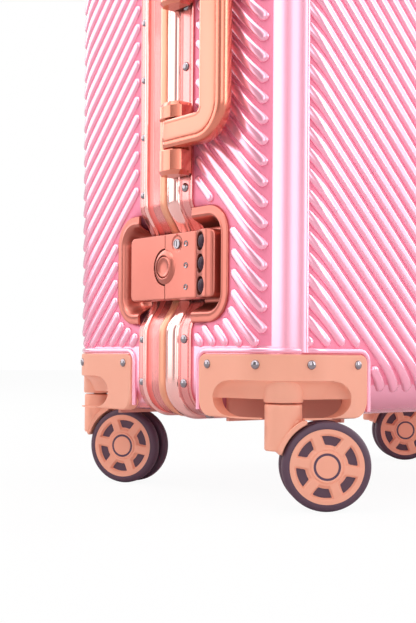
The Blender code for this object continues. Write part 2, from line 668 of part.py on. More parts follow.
def make_handle(which, place, parent):
    """A folding bail between two clevis brackets. Its frame: X away from the case, Y the way it folds
    down, Z along the span; place puts that frame's origin midway on the pivot."""
    name = f"{which}_handle"
    half_span = HANDLE_SPACING / 2
    half_arm, half_thick, half_grip = HANDLE_ARM_WIDTH / 2, HANDLE_THICKNESS / 2, HANDLE_GRIP_WIDTH / 2
    bend = (HANDLE_LENGTH - HANDLE_BEND, half_span - HANDLE_BEND)
    stations = [((v, half_span), (0, 1), half_arm, thick) for v, thick in ARM_END]
    stations.append(((0, half_span), (0, 1), half_arm, half_thick))
    for i in range(CORNER_STEPS):
        turn = pi / 2 * i / (CORNER_STEPS - 1)
        share = i / (CORNER_STEPS - 1)
        stations.append(((bend[0] + HANDLE_BEND * sin(turn), bend[1] + HANDLE_BEND * cos(turn)),
                         (sin(turn), cos(turn)), half_arm + (half_grip - half_arm) * share, half_thick))
    stations += [((v, -w), (nv, -nw), wide, thick) for (v, w), (nv, nw), wide, thick in reversed(stations)]
    rings = []
    for (v, w), (nv, nw), wide, thick in stations:
        slant = min(0.003, thick * 0.6)
        section = [(-thick, -wide), (thick - slant, -wide), (thick, slant - wide),
                   (thick, wide - slant), (thick - slant, wide), (-thick, wide)]
        rings.append([(u, v + nv * across, w + nw * across) for u, across in section])
    handle = solid(name, *lofted(rings), "handle", parent)
    pin_hole = turned(f"{name}_pin_hole", [(-HANDLE_SPACING, HANDLE_PIN_RADIUS + RUNNING_GAP),
                                           (HANDLE_SPACING, HANDLE_PIN_RADIUS + RUNNING_GAP)],
                      (0, 0, 0), (0, 0, 1), SMALL_SIDES, None, parent)
    cut(handle, pin_hole)
    made = [handle, pin_hole]
    low = BEAD_HEIGHT + TOUCH_GAP - HANDLE_PIVOT_HEIGHT
    foot = FLANGE_HEIGHT + TOUCH_GAP - HANDLE_PIVOT_HEIGHT
    half_size = BRACKET_SIZE / 2
    front_edge = FRONT_FLANGE_REACH - HANDLE_PIVOT_REACH - TOUCH_GAP
    bead_edge = BEAD_END - HANDLE_PIVOT_REACH + BRACKET_BEAD_GAP
    plate = low + BRACKET_PLATE
    base = [(foot, front_edge), (low, front_edge), (low, half_size), (plate, half_size), (plate, -half_size),
            (low, -half_size), (low, bead_edge), (foot, bead_edge)]
    crest = half_size - LOBE_SLOPE
    lobe = [(low, half_size), (0, half_size), (LOBE_HEIGHT, crest), (LOBE_HEIGHT, -crest),
            (0, -half_size), (low, -half_size)]
    for sign, end in ((-1, "a"), (1, "b")):
        middle = sign * half_span
        near, far = middle - sign * BRACKET_INNER_REACH, middle + sign * BRACKET_OUTER_REACH
        low_end, high_end = sorted((near, far))
        bracket = prism(f"{name}_bracket_{end}", base, low_end, high_end,
                        lambda a, b, c: (a, b, c), "handle", parent)
        gap = half_arm + RUNNING_GAP
        lobes = [prism(f"{name}_lobe_{end}{i}", lobe, *span, lambda a, b, c: (a, b, c), None, parent)
                 for i, span in enumerate(((low_end, middle - gap), (middle + gap, high_end)))]
        pin = turned(f"{name}_pin_{end}",
                     [(low_end + PIN_INSET, HANDLE_PIN_RADIUS), (high_end - PIN_INSET, HANDLE_PIN_RADIUS)],
                     (0, 0, 0), (0, 0, 1), SMALL_SIDES, None, parent)
        join(bracket, *lobes, pin)
        made += [bracket, *lobes, pin]
    for obj in made:
        obj.matrix_world = place @ obj.matrix_world
    bpy.context.view_layer.update()


def make_hinge(which, height, front_parent, rear_parent):
    """A butt hinge over the parting line: the rear leaf carries the pin, the front leaf turns on it."""
    axis = Vector((RIGHT + BEAD_HEIGHT + TOUCH_GAP + KNUCKLE_RADIUS, PARTING, height))
    third = HINGE_LENGTH / 3
    plate_low = RIGHT + BEAD_HEIGHT + TOUCH_GAP
    root = KNUCKLE_RADIUS + 2 * RUNNING_GAP
    up = (0, 0, 1)
    for half, sign, parent in (("front", -1, front_parent), ("rear", 1, rear_parent)):
        name = f"hinge_leaf_{half}_{which}"
        near, far = sorted((PARTING + sign * root, PARTING + sign * HINGE_LEAF))
        leaf = box(name, (plate_low, near, height - HINGE_LENGTH / 2),
                   (plate_low + HINGE_PLATE, far, height + HINGE_LENGTH / 2), "frame", parent, axis)
        spans = ([(-third / 2 + RUNNING_GAP, third / 2 - RUNNING_GAP)] if half == "front"
                 else [(-1.5 * third, -third / 2), (third / 2, 1.5 * third)])
        for i, (low, high) in enumerate(spans):
            knuckle = turned(f"{name}_knuckle_{i}", [(low, KNUCKLE_RADIUS), (high, KNUCKLE_RADIUS)],
                             axis, up, SMALL_SIDES, None, parent)
            near, far = sorted((PARTING + sign * 0.002, PARTING + sign * (root + 0.001)))
            bridge = box(f"{name}_bridge_{i}", (plate_low, near, height + low),
                         (plate_low + HINGE_PLATE, far, height + high), None, parent)
            join(leaf, knuckle, bridge)
        if half == "front":
            eye = turned(f"{name}_eye", [(-HINGE_LENGTH, HINGE_PIN_RADIUS + RUNNING_GAP),
                                         (HINGE_LENGTH, HINGE_PIN_RADIUS + RUNNING_GAP)],
                         axis, up, SMALL_SIDES, None, parent)
            cut(leaf, eye)
        else:
            pin_half = HINGE_LENGTH / 2 - 0.001
            pin = turned(f"{name}_pin", [(-pin_half, HINGE_PIN_RADIUS), (pin_half, HINGE_PIN_RADIUS)],
                         axis, up, SMALL_SIDES, None, parent)
            join(leaf, pin)


def tube(name, width, depth, centre_x, low, high, finish, parent):
    """An open rectangular tube with clipped corners, standing along Z."""
    def ring(inset, z):
        a, b, clip = width / 2 - inset, depth / 2 - inset, TUBE_CLIP
        corners = [(a, b - clip), (a - clip, b), (clip - a, b), (-a, b - clip),
                   (-a, clip - b), (clip - a, -b), (a - clip, -b), (a, clip - b)]
        return [(centre_x + x, TROLLEY_Y + y, z) for x, y in corners]
    rings = [ring(0, low), ring(0, high), ring(TUBE_WALL, high), ring(TUBE_WALL, low)]
    return solid(name, *lofted(rings, closed=True), finish, parent, (centre_x, TROLLEY_Y, low))


def make_trolley(rear_shell, envelope, parent):
    """The telescopic handle: a foot, three nested tubes a side, a sunk bezel, and a grip with a button."""
    bezel_top = TOP + BEZEL_HEIGHT
    grip_top = bezel_top + GRIP_RISE
    grip_bottom = grip_top - GRIP_HEIGHT
    floor_top = grip_bottom - TOUCH_GAP
    floor_bottom = floor_top - BEZEL_FLOOR
    foot_top = BOTTOM + SHELL_WALL + TOUCH_GAP + FOOT_HEIGHT
    half_depth = TUBE_DEPTH / 2

    foot = box("trolley_foot", (-FOOT_WIDTH / 2, TROLLEY_Y - half_depth, BOTTOM),
               (FOOT_WIDTH / 2, TROLLEY_Y + half_depth, foot_top), "black", parent)
    inside = SHELL_WALL + TOUCH_GAP
    room = half_solid("trolley_room", "rear", inside, inside, EDGE_RADIUS - inside, RIM_FROM_PARTING, parent)
    combine(foot, "INTERSECT", room)

    pocket = (BEZEL_CUP[0] - BEZEL_WALL, BEZEL_CUP[1] - BEZEL_WALL)
    rim = (pocket[0] + BEZEL_BORDER, pocket[1] + BEZEL_BORDER / 2)

    def block(name, half_x, half_y, low, high, finish=None):
        return box(name, (-half_x, TROLLEY_Y - half_y, low), (half_x, TROLLEY_Y + half_y, high),
                   finish, parent)

    bezel = block("trolley_bezel", *rim, TOP - BEZEL_SKIRT, bezel_top, "black")
    cut(bezel, envelope)
    join(bezel, block("bezel_cup", *BEZEL_CUP, floor_bottom, bezel_top - TOUCH_GAP))
    cut(bezel, block("bezel_pocket", *pocket, floor_top, 2 * TOP))
    opening = [half + TOUCH_GAP for half in BEZEL_CUP]
    cut(rear_shell, block("bezel_opening", *opening, MIDDLE, 2 * TOP))

    grip = soften(block("trolley_grip", GRIP_LENGTH / 2, GRIP_DEPTH / 2, grip_bottom, grip_top, "black"),
                  GRIP_BEVEL)
    button_low = grip_top - GRIP_BUTTON_HEIGHT
    button = (GRIP_BUTTON_LENGTH / 2, GRIP_BUTTON_DEPTH / 2)
    well = [half + RUNNING_GAP for half in button]
    cut(grip, block("grip_button_well", *well, button_low - GRIP_BUTTON_TRAVEL - RUNNING_GAP, 2 * TOP))
    block("trolley_button", *button, button_low, grip_top + GRIP_BUTTON_PROUD, "tube")

    for side, end in ((-1, "left"), (1, "right")):
        x = side * TROLLEY_SPACING / 2
        middle_size = (TUBE_WIDTH - 2 * TUBE_STEP_IN, TUBE_DEPTH - 2 * TUBE_STEP_IN)
        tube(f"trolley_outer_tube_{end}", TUBE_WIDTH, TUBE_DEPTH, x, foot_top + TOUCH_GAP,
             floor_bottom - TOUCH_GAP, "tube", parent)
        tube(f"trolley_middle_tube_{end}", *middle_size, x, foot_top + 2 * TUBE_STEP_UP,
             floor_top - TOUCH_GAP, "tube", parent)
        tube(f"trolley_inner_tube_{end}", TUBE_WIDTH - 4 * TUBE_STEP_IN, TUBE_DEPTH - 4 * TUBE_STEP_IN, x,
             foot_top + 3 * TUBE_STEP_UP, floor_top, "tube", parent)
        hole_x, hole_y = (size / 2 + RUNNING_GAP for size in middle_size)
        cut(bezel, box(f"bezel_hole_{end}", (x - hole_x, TROLLEY_Y - hole_y, MIDDLE),
                       (x + hole_x, TROLLEY_Y + hole_y, 2 * TOP), None, parent))


def centre_over_origin(root):
    """Move the whole suitcase so that the middle of its box stands over the origin."""
    bpy.context.view_layer.update()
    graph = bpy.context.evaluated_depsgraph_get()
    lows, highs = [], []
    for obj in bpy.context.scene.objects:
        if obj.type != "MESH" or obj.hide_render:
            continue
        mesh = obj.evaluated_get(graph).data
        points = np.empty(3 * len(mesh.vertices), np.float32)
        mesh.vertices.foreach_get("co", points)
        turn = np.array(obj.matrix_world)
        placed = points.reshape(-1, 3) @ turn[:3, :3].T + turn[:3, 3]
        lows.append(placed.min(axis=0))
        highs.append(placed.max(axis=0))
    middle = (np.min(lows, axis=0) + np.max(highs, axis=0)) / 2
    root.location = (-middle[0], -middle[1], 0)
    bpy.context.view_layer.update()


def main():
    for obj in list(bpy.data.objects):
        bpy.data.objects.remove(obj)
    root = empty("suitcase", (0, 0, 0))
    hinge_x = RIGHT + BEAD_HEIGHT + TOUCH_GAP + KNUCKLE_RADIUS
    front = empty("front_half", (hinge_x, PARTING, 0), root)
    rear = empty("rear_half", (0, 0, 0), root)

    make_shell("front", front)
    rear_shell = make_shell("rear", rear)
    make_frames(front, rear)
    envelopes = {"front": shell_envelope("front", front), "rear": shell_envelope("rear", rear)}
    for where in SWIVEL_ANGLES:
        half = where.split("_")[0]
        parent = front if half == "front" else rear
        make_housing(where, envelopes[half], parent)
        make_caster(where, parent)
    for which in LOCK_HEIGHTS:
        make_lock(which, front, rear)
    pivot_y = PARTING - HANDLE_PIVOT_REACH
    side_pivot = Matrix.Translation((LEFT - HANDLE_PIVOT_HEIGHT, pivot_y, MIDDLE))
    top_pivot = Matrix.Translation((0, pivot_y, TOP + HANDLE_PIVOT_HEIGHT))
    out_left = Matrix(((-1, 0, 0), (0, -1, 0), (0, 0, 1))).to_4x4()
    out_up = Matrix(((0, 0, 1), (0, -1, 0), (1, 0, 0))).to_4x4()
    make_handle("side", side_pivot @ out_left, front)
    make_handle("top", top_pivot @ out_up, front)
    for which, sign in (("lower", -1), ("upper", 1)):
        make_hinge(which, MIDDLE + sign * HINGE_FROM_MIDDLE, front, rear)
    make_trolley(rear_shell, envelopes["rear"], rear)
    centre_over_origin(root)


main()
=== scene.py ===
"""A pink ribbed cabin suitcase with rose gold fittings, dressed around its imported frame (metres, +Z up).

The frame gives every place: the shells, frame rings, housings, locks, handles and casters here are fine
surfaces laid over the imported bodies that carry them.
"""

import json
import logging
import math
from dataclasses import dataclass, field
from enum import Enum
from typing import Callable, Iterable, Sequence

import bmesh
import bpy
import numpy as np
from mathutils import Matrix, Vector


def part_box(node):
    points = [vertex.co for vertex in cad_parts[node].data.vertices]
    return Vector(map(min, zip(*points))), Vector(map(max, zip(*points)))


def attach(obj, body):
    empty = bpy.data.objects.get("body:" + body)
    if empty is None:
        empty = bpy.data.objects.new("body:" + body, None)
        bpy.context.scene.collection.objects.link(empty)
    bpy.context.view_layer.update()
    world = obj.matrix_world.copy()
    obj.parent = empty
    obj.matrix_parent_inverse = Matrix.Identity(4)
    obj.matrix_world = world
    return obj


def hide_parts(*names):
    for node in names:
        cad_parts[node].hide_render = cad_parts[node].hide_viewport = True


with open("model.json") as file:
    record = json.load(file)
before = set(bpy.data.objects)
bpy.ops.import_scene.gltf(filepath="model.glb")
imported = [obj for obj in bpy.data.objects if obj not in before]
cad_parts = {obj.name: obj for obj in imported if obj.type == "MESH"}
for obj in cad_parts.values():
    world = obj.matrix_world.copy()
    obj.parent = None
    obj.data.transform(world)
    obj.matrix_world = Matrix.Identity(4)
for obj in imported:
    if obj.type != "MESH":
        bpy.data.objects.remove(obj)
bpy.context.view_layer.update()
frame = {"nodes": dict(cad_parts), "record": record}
LOG = logging.getLogger("suitcase")
Array = np.ndarray
Place = Callable[[Array, Array, Array], Array]
Feed = bpy.types.NodeSocket | float


class Half(Enum):
    """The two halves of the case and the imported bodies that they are."""

    FRONT = "front_half"
    REAR = "rear_half"

    @property
    def word(self) -> str:
        """The half's short name, as used in node names."""
        return self.name.lower()

    @property
    def face(self) -> float:
        """The y of the half's big face."""
        return DATUM.front if self is Half.FRONT else DATUM.back

    @property
    def inwards(self) -> int:
        """+1 where depth runs towards +Y, -1 where it runs towards -Y."""
        return 1 if self is Half.FRONT else -1


def linear(red: int, green: int, blue: int) -> tuple[float, float, float, float]:
    """A screen colour of 0 to 255 as the linear colour that shaders take."""
    def curve(value: float) -> float:
        """One channel: v / 12.92 near black, else ((v + 0.055) / 1.055)^2.4."""
        value /= 255
        return value / 12.92 if value <= 0.04045 else ((value + 0.055) / 1.055) ** 2.4
    return curve(red), curve(green), curve(blue), 1.0


# --------------------------------------------------------------------------- places read from the frame


@dataclass(frozen=True)
class Datum:
    """The case's own planes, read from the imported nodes."""

    left: float
    right: float
    front: float
    back: float
    bottom: float
    top: float
    parting: float

    @classmethod
    def read(cls) -> "Datum":
        """Take the planes from the boxes of the two packed shells."""
        low, high = (np.array(corner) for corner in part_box("front_shell"))
        rear_low, rear_high = (np.array(corner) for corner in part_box("rear_shell"))
        return cls(low[0], high[0], low[1], rear_high[1], low[2], high[2], (high[1] + rear_low[1]) / 2)

    @property
    def middle(self) -> float:
        """Height of the case's middle."""
        return (self.bottom + self.top) / 2

    @property
    def centre_x(self) -> float:
        """The case's middle from side to side."""
        return (self.left + self.right) / 2

    def from_side(self, x: Array) -> Array:
        """Distance of x in from the nearer of the case's two sides."""
        return np.minimum(x - self.left, self.right - x)


DATUM = Datum.read()
JOINTS = {joint["name"]: joint for joint in frame["record"]["behaviour"]["joints"]}


def node_box(node: str) -> tuple[Array, Array]:
    """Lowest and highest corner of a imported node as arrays."""
    low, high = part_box(node)
    return np.array(low), np.array(high)


# ------------------------------------------------------------------------------------ surface building


def smooth_step(value: Array, low: float, high: float) -> Array:
    """0 below low, 1 above high, and 3t^2 - 2t^3 between them."""
    share = np.clip((value - low) / (high - low), 0.0, 1.0)
    return share * share * (3 - 2 * share)


def rounded_box_distance(u: Array, v: Array, half_u: float, half_v: float, radius: float) -> Array:
    """Distance outside a rounded rectangle about the origin, negative inside it."""
    across = np.abs(u) - half_u + radius
    along = np.abs(v) - half_v + radius
    outside = np.hypot(np.maximum(across, 0), np.maximum(along, 0))
    return outside + np.minimum(np.maximum(across, along), 0) - radius


def other_leg(long: float, short: Array) -> Array:
    """Third side of a right triangle: sqrt(long^2 - short^2), and 0 where short is the longer."""
    return np.sqrt(np.maximum(long**2 - short**2, 0))


def facing_left(normals: Array) -> Array:
    """1 where an outline's normal points left, falling to 0 where it has turned 26 degrees away."""
    return smooth_step(-normals[:, 0], 0.9, 1.0)


def round_over(inside: Array, radius: float) -> Array:
    """Drop of a rounded edge: R * (1 - sqrt(1 - (1 - inside / R)^2)), and 0 past R."""
    return radius * (1 - np.sqrt(np.clip(1 - (1 - np.clip(inside / radius, 0, 1)) ** 2, 0, 1)))


def hang(piece: bpy.types.Object, body: str) -> None:
    """Ride the piece on a body and report it."""
    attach(piece, body)
    LOG.info("%s: %d faces", piece.name, len(piece.data.polygons))


@dataclass
class Skin:
    """Points and faces gathered from grids and loops before they become one mesh."""

    points: list[Array] = field(default_factory=list)
    faces: list[tuple[int, ...]] = field(default_factory=list)
    slots: list[int] = field(default_factory=list)
    count: int = 0

    def lattice(self, grid: Array, around: bool = False, along: bool = False, slot: int | Array = 0) -> int:
        """Add a grid of rows x columns points and the quads between them.

        Args:
            grid: points as rows x columns x 3.
            around: whether each row closes on itself.
            along: whether the last row joins the first.
            slot: material slot, or one per quad.

        Returns:
            Index of the grid's first point.
        """
        rows, columns = grid.shape[:2]
        start = self.count
        index = np.arange(rows * columns).reshape(rows, columns) + start
        if along:
            index = np.vstack([index, index[:1]])
        if around:
            index = np.hstack([index, index[:, :1]])
        quads = np.stack([index[:-1, :-1], index[:-1, 1:], index[1:, 1:], index[1:, :-1]], axis=-1)
        self.points.append(grid.reshape(-1, 3))
        self.faces += [tuple(quad) for quad in quads.reshape(-1, 4).tolist()]
        self.slots += np.broadcast_to(slot, quads.shape[:2]).reshape(-1).tolist()
        self.count += rows * columns
        return start

    def lid(self, indices: Iterable[int], slot: int = 0) -> None:
        """Close a loop of points with one flat face."""
        self.faces.append(tuple(indices))
        self.slots.append(slot)

    def closed_stack(self, rings: Array, slot: int | Array = 0) -> None:
        """Add rings of points joined into a solid, with a flat lid at either end."""
        start = self.lattice(rings, around=True, slot=slot)
        end_slot = slot if isinstance(slot, int) else 0
        self.lid(range(start, start + rings.shape[1]), end_slot)
        self.shut(start, rings, end_slot)

    def shut(self, start: int, grid: Array, slot: int = 0) -> None:
        """Close the last row of the lattice whose first point is start with one flat face."""
        rows, columns = grid.shape[:2]
        self.lid(range(start + (rows - 1) * columns, start + rows * columns), slot)

    def cup(self, outer: Array, inner: Array, slot: int | Array = 0, end_slot: int = 0) -> None:
        """Add a closed cup: two surfaces joined at their first rows, each shut at its last.

        Args:
            outer: the outer surface's points, as rows x columns x 3.
            inner: the inner surface's points, with as many columns.
            slot: the outer surface's material slot; the inner one takes slot 0.
            end_slot: slot of the outer surface's flat end.
        """
        starts = [self.lattice(outer, around=True, slot=slot), self.lattice(inner, around=True)]
        self.shut(starts[0], outer, end_slot)
        self.shut(starts[1], inner)
        self.lattice(np.stack([outer[0], inner[0]]), around=True)

    def build(self, name: str, finishes: Sequence[bpy.types.Material],
              sharp: float = 40.0) -> bpy.types.Object:
        """Make the object: merge doubles, turn faces outwards, shade smooth with sharp edges.

        Args:
            name: the object's name.
            finishes: one material per slot.
            sharp: angle in degrees past which an edge stays sharp.

        Returns:
            The new object, at the origin.
        """
        mesh = bpy.data.meshes.new(name)
        mesh.from_pydata(np.concatenate(self.points), [], self.faces)
        mesh.polygons.foreach_set("material_index", np.array(self.slots, np.int32))
        shape = bmesh.new()
        shape.from_mesh(mesh)
        bmesh.ops.remove_doubles(shape, verts=shape.verts, dist=2e-6)
        bmesh.ops.dissolve_degenerate(shape, edges=shape.edges, dist=1e-6)
        bmesh.ops.recalc_face_normals(shape, faces=shape.faces)
        shape.to_mesh(mesh)
        shape.free()
        for finish in finishes:
            mesh.materials.append(finish)
        mesh.shade_smooth()
        mesh.set_sharp_from_angle(angle=math.radians(sharp))
        obj = bpy.data.objects.new(name, mesh)
        bpy.context.scene.collection.objects.link(obj)
        return obj


def plate(u: Array, low: Array, high: Array, rows: int, height: Callable[[Array, Array], Array],
          base: float | Callable[[Array, Array], Array], place: Place, skin: Skin | None = None,
          slot: int = 0) -> Skin:
    """A solid plate of varying height: at each u it runs from low to high in v.

    Its top is place(u, v, height(u, v)) and its underside place(u, v, base).

    Args:
        u: positions along the plate.
        low: lower edge at each u.
        high: upper edge at each u.
        rows: number of points from edge to edge.
        height: height of the top over (u, v).
        base: height of the underside, or a function of (u, v) that gives it.
        place: turns (u, v, height) into points.
        skin: a skin to add to.
        slot: material slot.

    Returns:
        The skin with the plate in it.
    """
    skin = skin or Skin()
    share = np.linspace(0, 1, rows)[:, None]
    across = low[None] + (high - low)[None] * share
    along = np.broadcast_to(u[None], across.shape)
    top = place(along, across, height(along, across))
    under = place(along, across, base(along, across) if callable(base) else np.full(across.shape, base))
    skin.lattice(top, slot=slot)
    skin.lattice(under[:, ::-1], slot=slot)
    for edge_top, edge_under in ((top[0], under[0]), (top[-1][::-1], under[-1][::-1]),
                                 (top[::-1, 0], under[::-1, 0]), (top[:, -1], under[:, -1])):
        skin.lattice(np.stack([edge_top, edge_under]), slot=slot)
    return skin


def turned(profile: Sequence[tuple[float, float]], centre: Array, axis: Array, sides: int = 48,
           skin: Skin | None = None, slot: int = 0) -> Skin:
    """A solid of revolution: each (distance, radius) pair is a circle about the axis through centre."""
    skin = skin or Skin()
    axis = np.asarray(axis, float) / np.linalg.norm(axis)
    helper = np.array([0.0, 0, 1]) if abs(axis[2]) < 0.5 else np.array([0.0, 1, 0])
    side = np.cross(axis, helper)
    side /= np.linalg.norm(side)
    up = np.cross(side, axis)
    turn = np.linspace(0, 2 * np.pi, sides, endpoint=False)
    circle = np.cos(turn)[:, None] * up + np.sin(turn)[:, None] * side
    steps = np.array(profile, float)
    rings = np.asarray(centre) + steps[:, 0, None, None] * axis + steps[:, 1, None, None] * circle[None]
    skin.closed_stack(rings, slot)
    return skin


def dome(radius: float) -> list[tuple[float, float]]:
    """A rivet head's profile: height = 0.55 R cos(t)^0.7 against radius = R sin(t), from its foot up."""
    turn = np.linspace(np.pi / 2, 0.05, 9)
    return [(-0.0004, radius)] + [(0.55 * radius * math.cos(t) ** 0.7, radius * math.sin(t)) for t in turn]


# ------------------------------------------------------------------------------------------- finishes


def new_group(name: str, inputs: Sequence[tuple[str, str, float | tuple]], outputs: Sequence[tuple[str, str]]
              ) -> tuple[bpy.types.NodeTree, bpy.types.Node, bpy.types.Node]:
    """An empty shader node group with its sockets.

    Returns:
        The group, its input node and its output node.
    """
    group = bpy.data.node_groups.new(name, "ShaderNodeTree")
    for socket, kind, value in inputs:
        made = group.interface.new_socket(name=socket, in_out="INPUT", socket_type=kind)
        made.default_value = value
    for socket, kind in outputs:
        group.interface.new_socket(name=socket, in_out="OUTPUT", socket_type=kind)
    return group, group.nodes.new("NodeGroupInput"), group.nodes.new("NodeGroupOutput")


def new_material(name: str) -> tuple[bpy.types.Material, bpy.types.Nodes, bpy.types.NodeLinks,
                                     bpy.types.Node]:
    """A new material with its nodes, its links and its Principled shader."""
    made = bpy.data.materials.new(name)
    made.use_nodes = True
    nodes = made.node_tree.nodes
    return made, nodes, made.node_tree.links, nodes["Principled BSDF"]


def math_node(nodes: bpy.types.Nodes, links: bpy.types.NodeLinks, operation: str, first: Feed,
              second: Feed | None = None) -> bpy.types.NodeSocket:
    """A Math node fed by one or two sockets or numbers; returns its output socket."""
    node = nodes.new("ShaderNodeMath")
    node.operation = operation
    for place, value in enumerate((first, second)):
        if value is None:
            continue
        if isinstance(value, (int, float)):
            node.inputs[place].default_value = value
        else:
            links.new(value, node.inputs[place])
    return node.outputs[0]


def seen_directly(nodes: bpy.types.Nodes, links: bpy.types.NodeLinks,
                  path: bpy.types.Node) -> bpy.types.NodeSocket:
    """1 on rays from the camera, straight or through something clear, and 0 on all others."""
    return math_node(nodes, links, "MAXIMUM", path.outputs["Is Camera Ray"],
                     path.outputs["Is Transmission Ray"])


def grain_group() -> bpy.types.NodeTree:
    """Fine and broad surface grain: a height for bump, and a mask that wanders slowly over the piece."""
    group, given, result = new_group(
        "moulded_grain",
        [("Fine", "NodeSocketFloat", 900.0), ("Broad", "NodeSocketFloat", 14.0),
         ("Stretch", "NodeSocketVector", (1, 1, 1))],
        [("Height", "NodeSocketFloat"), ("Mask", "NodeSocketFloat")])
    nodes, links = group.nodes, group.links
    place = nodes.new("ShaderNodeTexCoord")
    stretch = nodes.new("ShaderNodeVectorMath")
    stretch.operation = "MULTIPLY"
    links.new(place.outputs["Object"], stretch.inputs[0])
    links.new(given.outputs["Stretch"], stretch.inputs[1])
    fine, broad = nodes.new("ShaderNodeTexNoise"), nodes.new("ShaderNodeTexNoise")
    for noise, scale, detail in ((fine, "Fine", 2.0), (broad, "Broad", 4.0)):
        noise.inputs["Detail"].default_value = detail
        links.new(stretch.outputs[0], noise.inputs["Vector"])
        links.new(given.outputs[scale], noise.inputs["Scale"])
    links.new(fine.outputs["Fac"], result.inputs["Height"])
    links.new(broad.outputs["Fac"], result.inputs["Mask"])
    return group


def weave_group() -> bpy.types.NodeTree:
    """A plain weave: two sine waves crossed, as a height, with a thread mask."""
    group, given, result = new_group(
        "plain_weave", [("Threads", "NodeSocketFloat", 5200.0)],
        [("Height", "NodeSocketFloat"), ("Mask", "NodeSocketFloat")])
    nodes, links = group.nodes, group.links
    place, split = nodes.new("ShaderNodeTexCoord"), nodes.new("ShaderNodeSeparateXYZ")
    links.new(place.outputs["Object"], split.inputs[0])
    slant = math_node(nodes, links, "ADD", split.outputs[0], split.outputs[1])
    waves = []
    for source in (slant, split.outputs[2]):
        turned_by = math_node(nodes, links, "MULTIPLY", source, given.outputs["Threads"])
        waves.append(math_node(nodes, links, "SINE", turned_by))
    product = math_node(nodes, links, "MULTIPLY", *waves)
    height = math_node(nodes, links, "ADD", math_node(nodes, links, "MULTIPLY", product, 0.5), 0.5)
    links.new(height, result.inputs["Height"])
    links.new(height, result.inputs["Mask"])
    return group


GROUPS: dict[str, bpy.types.NodeTree] = {}


def group_node(nodes: bpy.types.Nodes, name: str,
               maker: Callable[[], bpy.types.NodeTree]) -> bpy.types.Node:
    """Place a shared node group in a material, building the group the first time."""
    if name not in GROUPS:
        GROUPS[name] = maker()
    node = nodes.new("ShaderNodeGroup")
    node.node_tree = GROUPS[name]
    return node


@dataclass(frozen=True)
class Finish:
    """A surface finish: a Principled shader with a grain that varies its colour, gloss and bump."""

    name: str
    colour: tuple[float, float, float, float]
    shade: tuple[float, float, float, float]
    roughness: tuple[float, float]
    metallic: float = 0.0
    bump: float = 0.00002
    fine: float = 900.0
    broad: float = 14.0
    stretch: tuple[float, float, float] = (1, 1, 1)
    coat: float = 0.0
    sheen: float = 0.0
    specular: float = 0.5
    woven: bool = False

    def make(self) -> bpy.types.Material:
        """Build the material, or return the one made before."""
        found = bpy.data.materials.get(self.name)
        if found:
            return found
        made, nodes, links, shader = new_material(self.name)
        shader.inputs["Metallic"].default_value = self.metallic
        shader.inputs["Coat Weight"].default_value = self.coat
        shader.inputs["Coat Roughness"].default_value = 0.12
        shader.inputs["Sheen Weight"].default_value = self.sheen
        shader.inputs["Specular IOR Level"].default_value = self.specular
        grain = group_node(nodes, "grain", grain_group)
        grain.inputs["Fine"].default_value = self.fine
        grain.inputs["Broad"].default_value = self.broad
        grain.inputs["Stretch"].default_value = self.stretch
        blend = nodes.new("ShaderNodeMix")
        blend.data_type = "RGBA"
        blend.inputs[6].default_value = self.colour
        blend.inputs[7].default_value = self.shade
        gloss = nodes.new("ShaderNodeMapRange")
        gloss.inputs["To Min"].default_value, gloss.inputs["To Max"].default_value = self.roughness
        links.new(grain.outputs["Mask"], gloss.inputs["Value"])
        links.new(gloss.outputs[0], shader.inputs["Roughness"])
        bump = nodes.new("ShaderNodeBump")
        bump.inputs["Distance"].default_value = self.bump
        source = grain
        if self.woven:
            source = group_node(nodes, "weave", weave_group)
        links.new(source.outputs["Mask"], blend.inputs["Factor"])
        links.new(source.outputs["Height"], bump.inputs["Height"])
        links.new(blend.outputs[2], shader.inputs["Base Color"])
        links.new(bump.outputs[0], shader.inputs["Normal"])
        return made


PEARL = Finish("pearl_pink_shell", linear(253, 180, 202), linear(251, 170, 194),
               (0.16, 0.22), 0.55, 0.000008, 2600.0, 9.0, coat=0.5)
# A darker pink with a satin gloss for the ground between the ribs: the darkness is painted shade in the
# grooves.
GROOVE_PAINTED_SHADE = Finish("pearl_pink_groove", linear(244, 140, 168), linear(238, 130, 160),
                (0.42, 0.5), 0.25, 0.000008, 2600.0, 9.0)
ANODISED = Finish("rose_gold_frame", linear(222, 150, 146), linear(212, 136, 134),
                  (0.20, 0.30), 0.9, 0.00001, 700.0, 10.0, (1, 8, 1))
POLISHED = Finish("rose_gold_bead", linear(244, 192, 186), linear(236, 178, 172),
                  (0.12, 0.18), 0.9, 0.000005, 700.0, 10.0, (1, 8, 1))
CORAL = Finish("coral_channel", linear(240, 126, 118), linear(232, 112, 108), (0.25, 0.35), 0.6, 0.00001)
TONGUE = Finish("peach_tongue", linear(236, 164, 132), linear(226, 148, 118), (0.3, 0.4), 0.5, 0.00001)
SATIN = Finish("rose_gold_casting", linear(190, 112, 99), linear(180, 102, 90),
               (0.28, 0.36), 0.85, 0.00002, 1800.0, 20.0)
LACQUER = Finish("copper_lacquer", linear(218, 130, 108), linear(208, 118, 96), (0.22, 0.28), 0.8,
                 0.00001, coat=0.3)
PEACH = Finish("peach_nylon", linear(250, 178, 152), linear(246, 166, 140), (0.42, 0.52), 0.0,
               0.00003, 1500.0, 16.0)
# A darker copy of the peach nylon for the inside of the caster well: painted shade in the recess.
WELL_PAINTED_SHADE = Finish("peach_nylon_inside", linear(226, 156, 138), linear(214, 142, 126), (0.5, 0.6), 0.0,
              0.00003, 1500.0)
RUBBER = Finish("plum_tyre", linear(86, 58, 76), linear(76, 50, 68), (0.5, 0.62), 0.0, 0.00003, 1600.0)
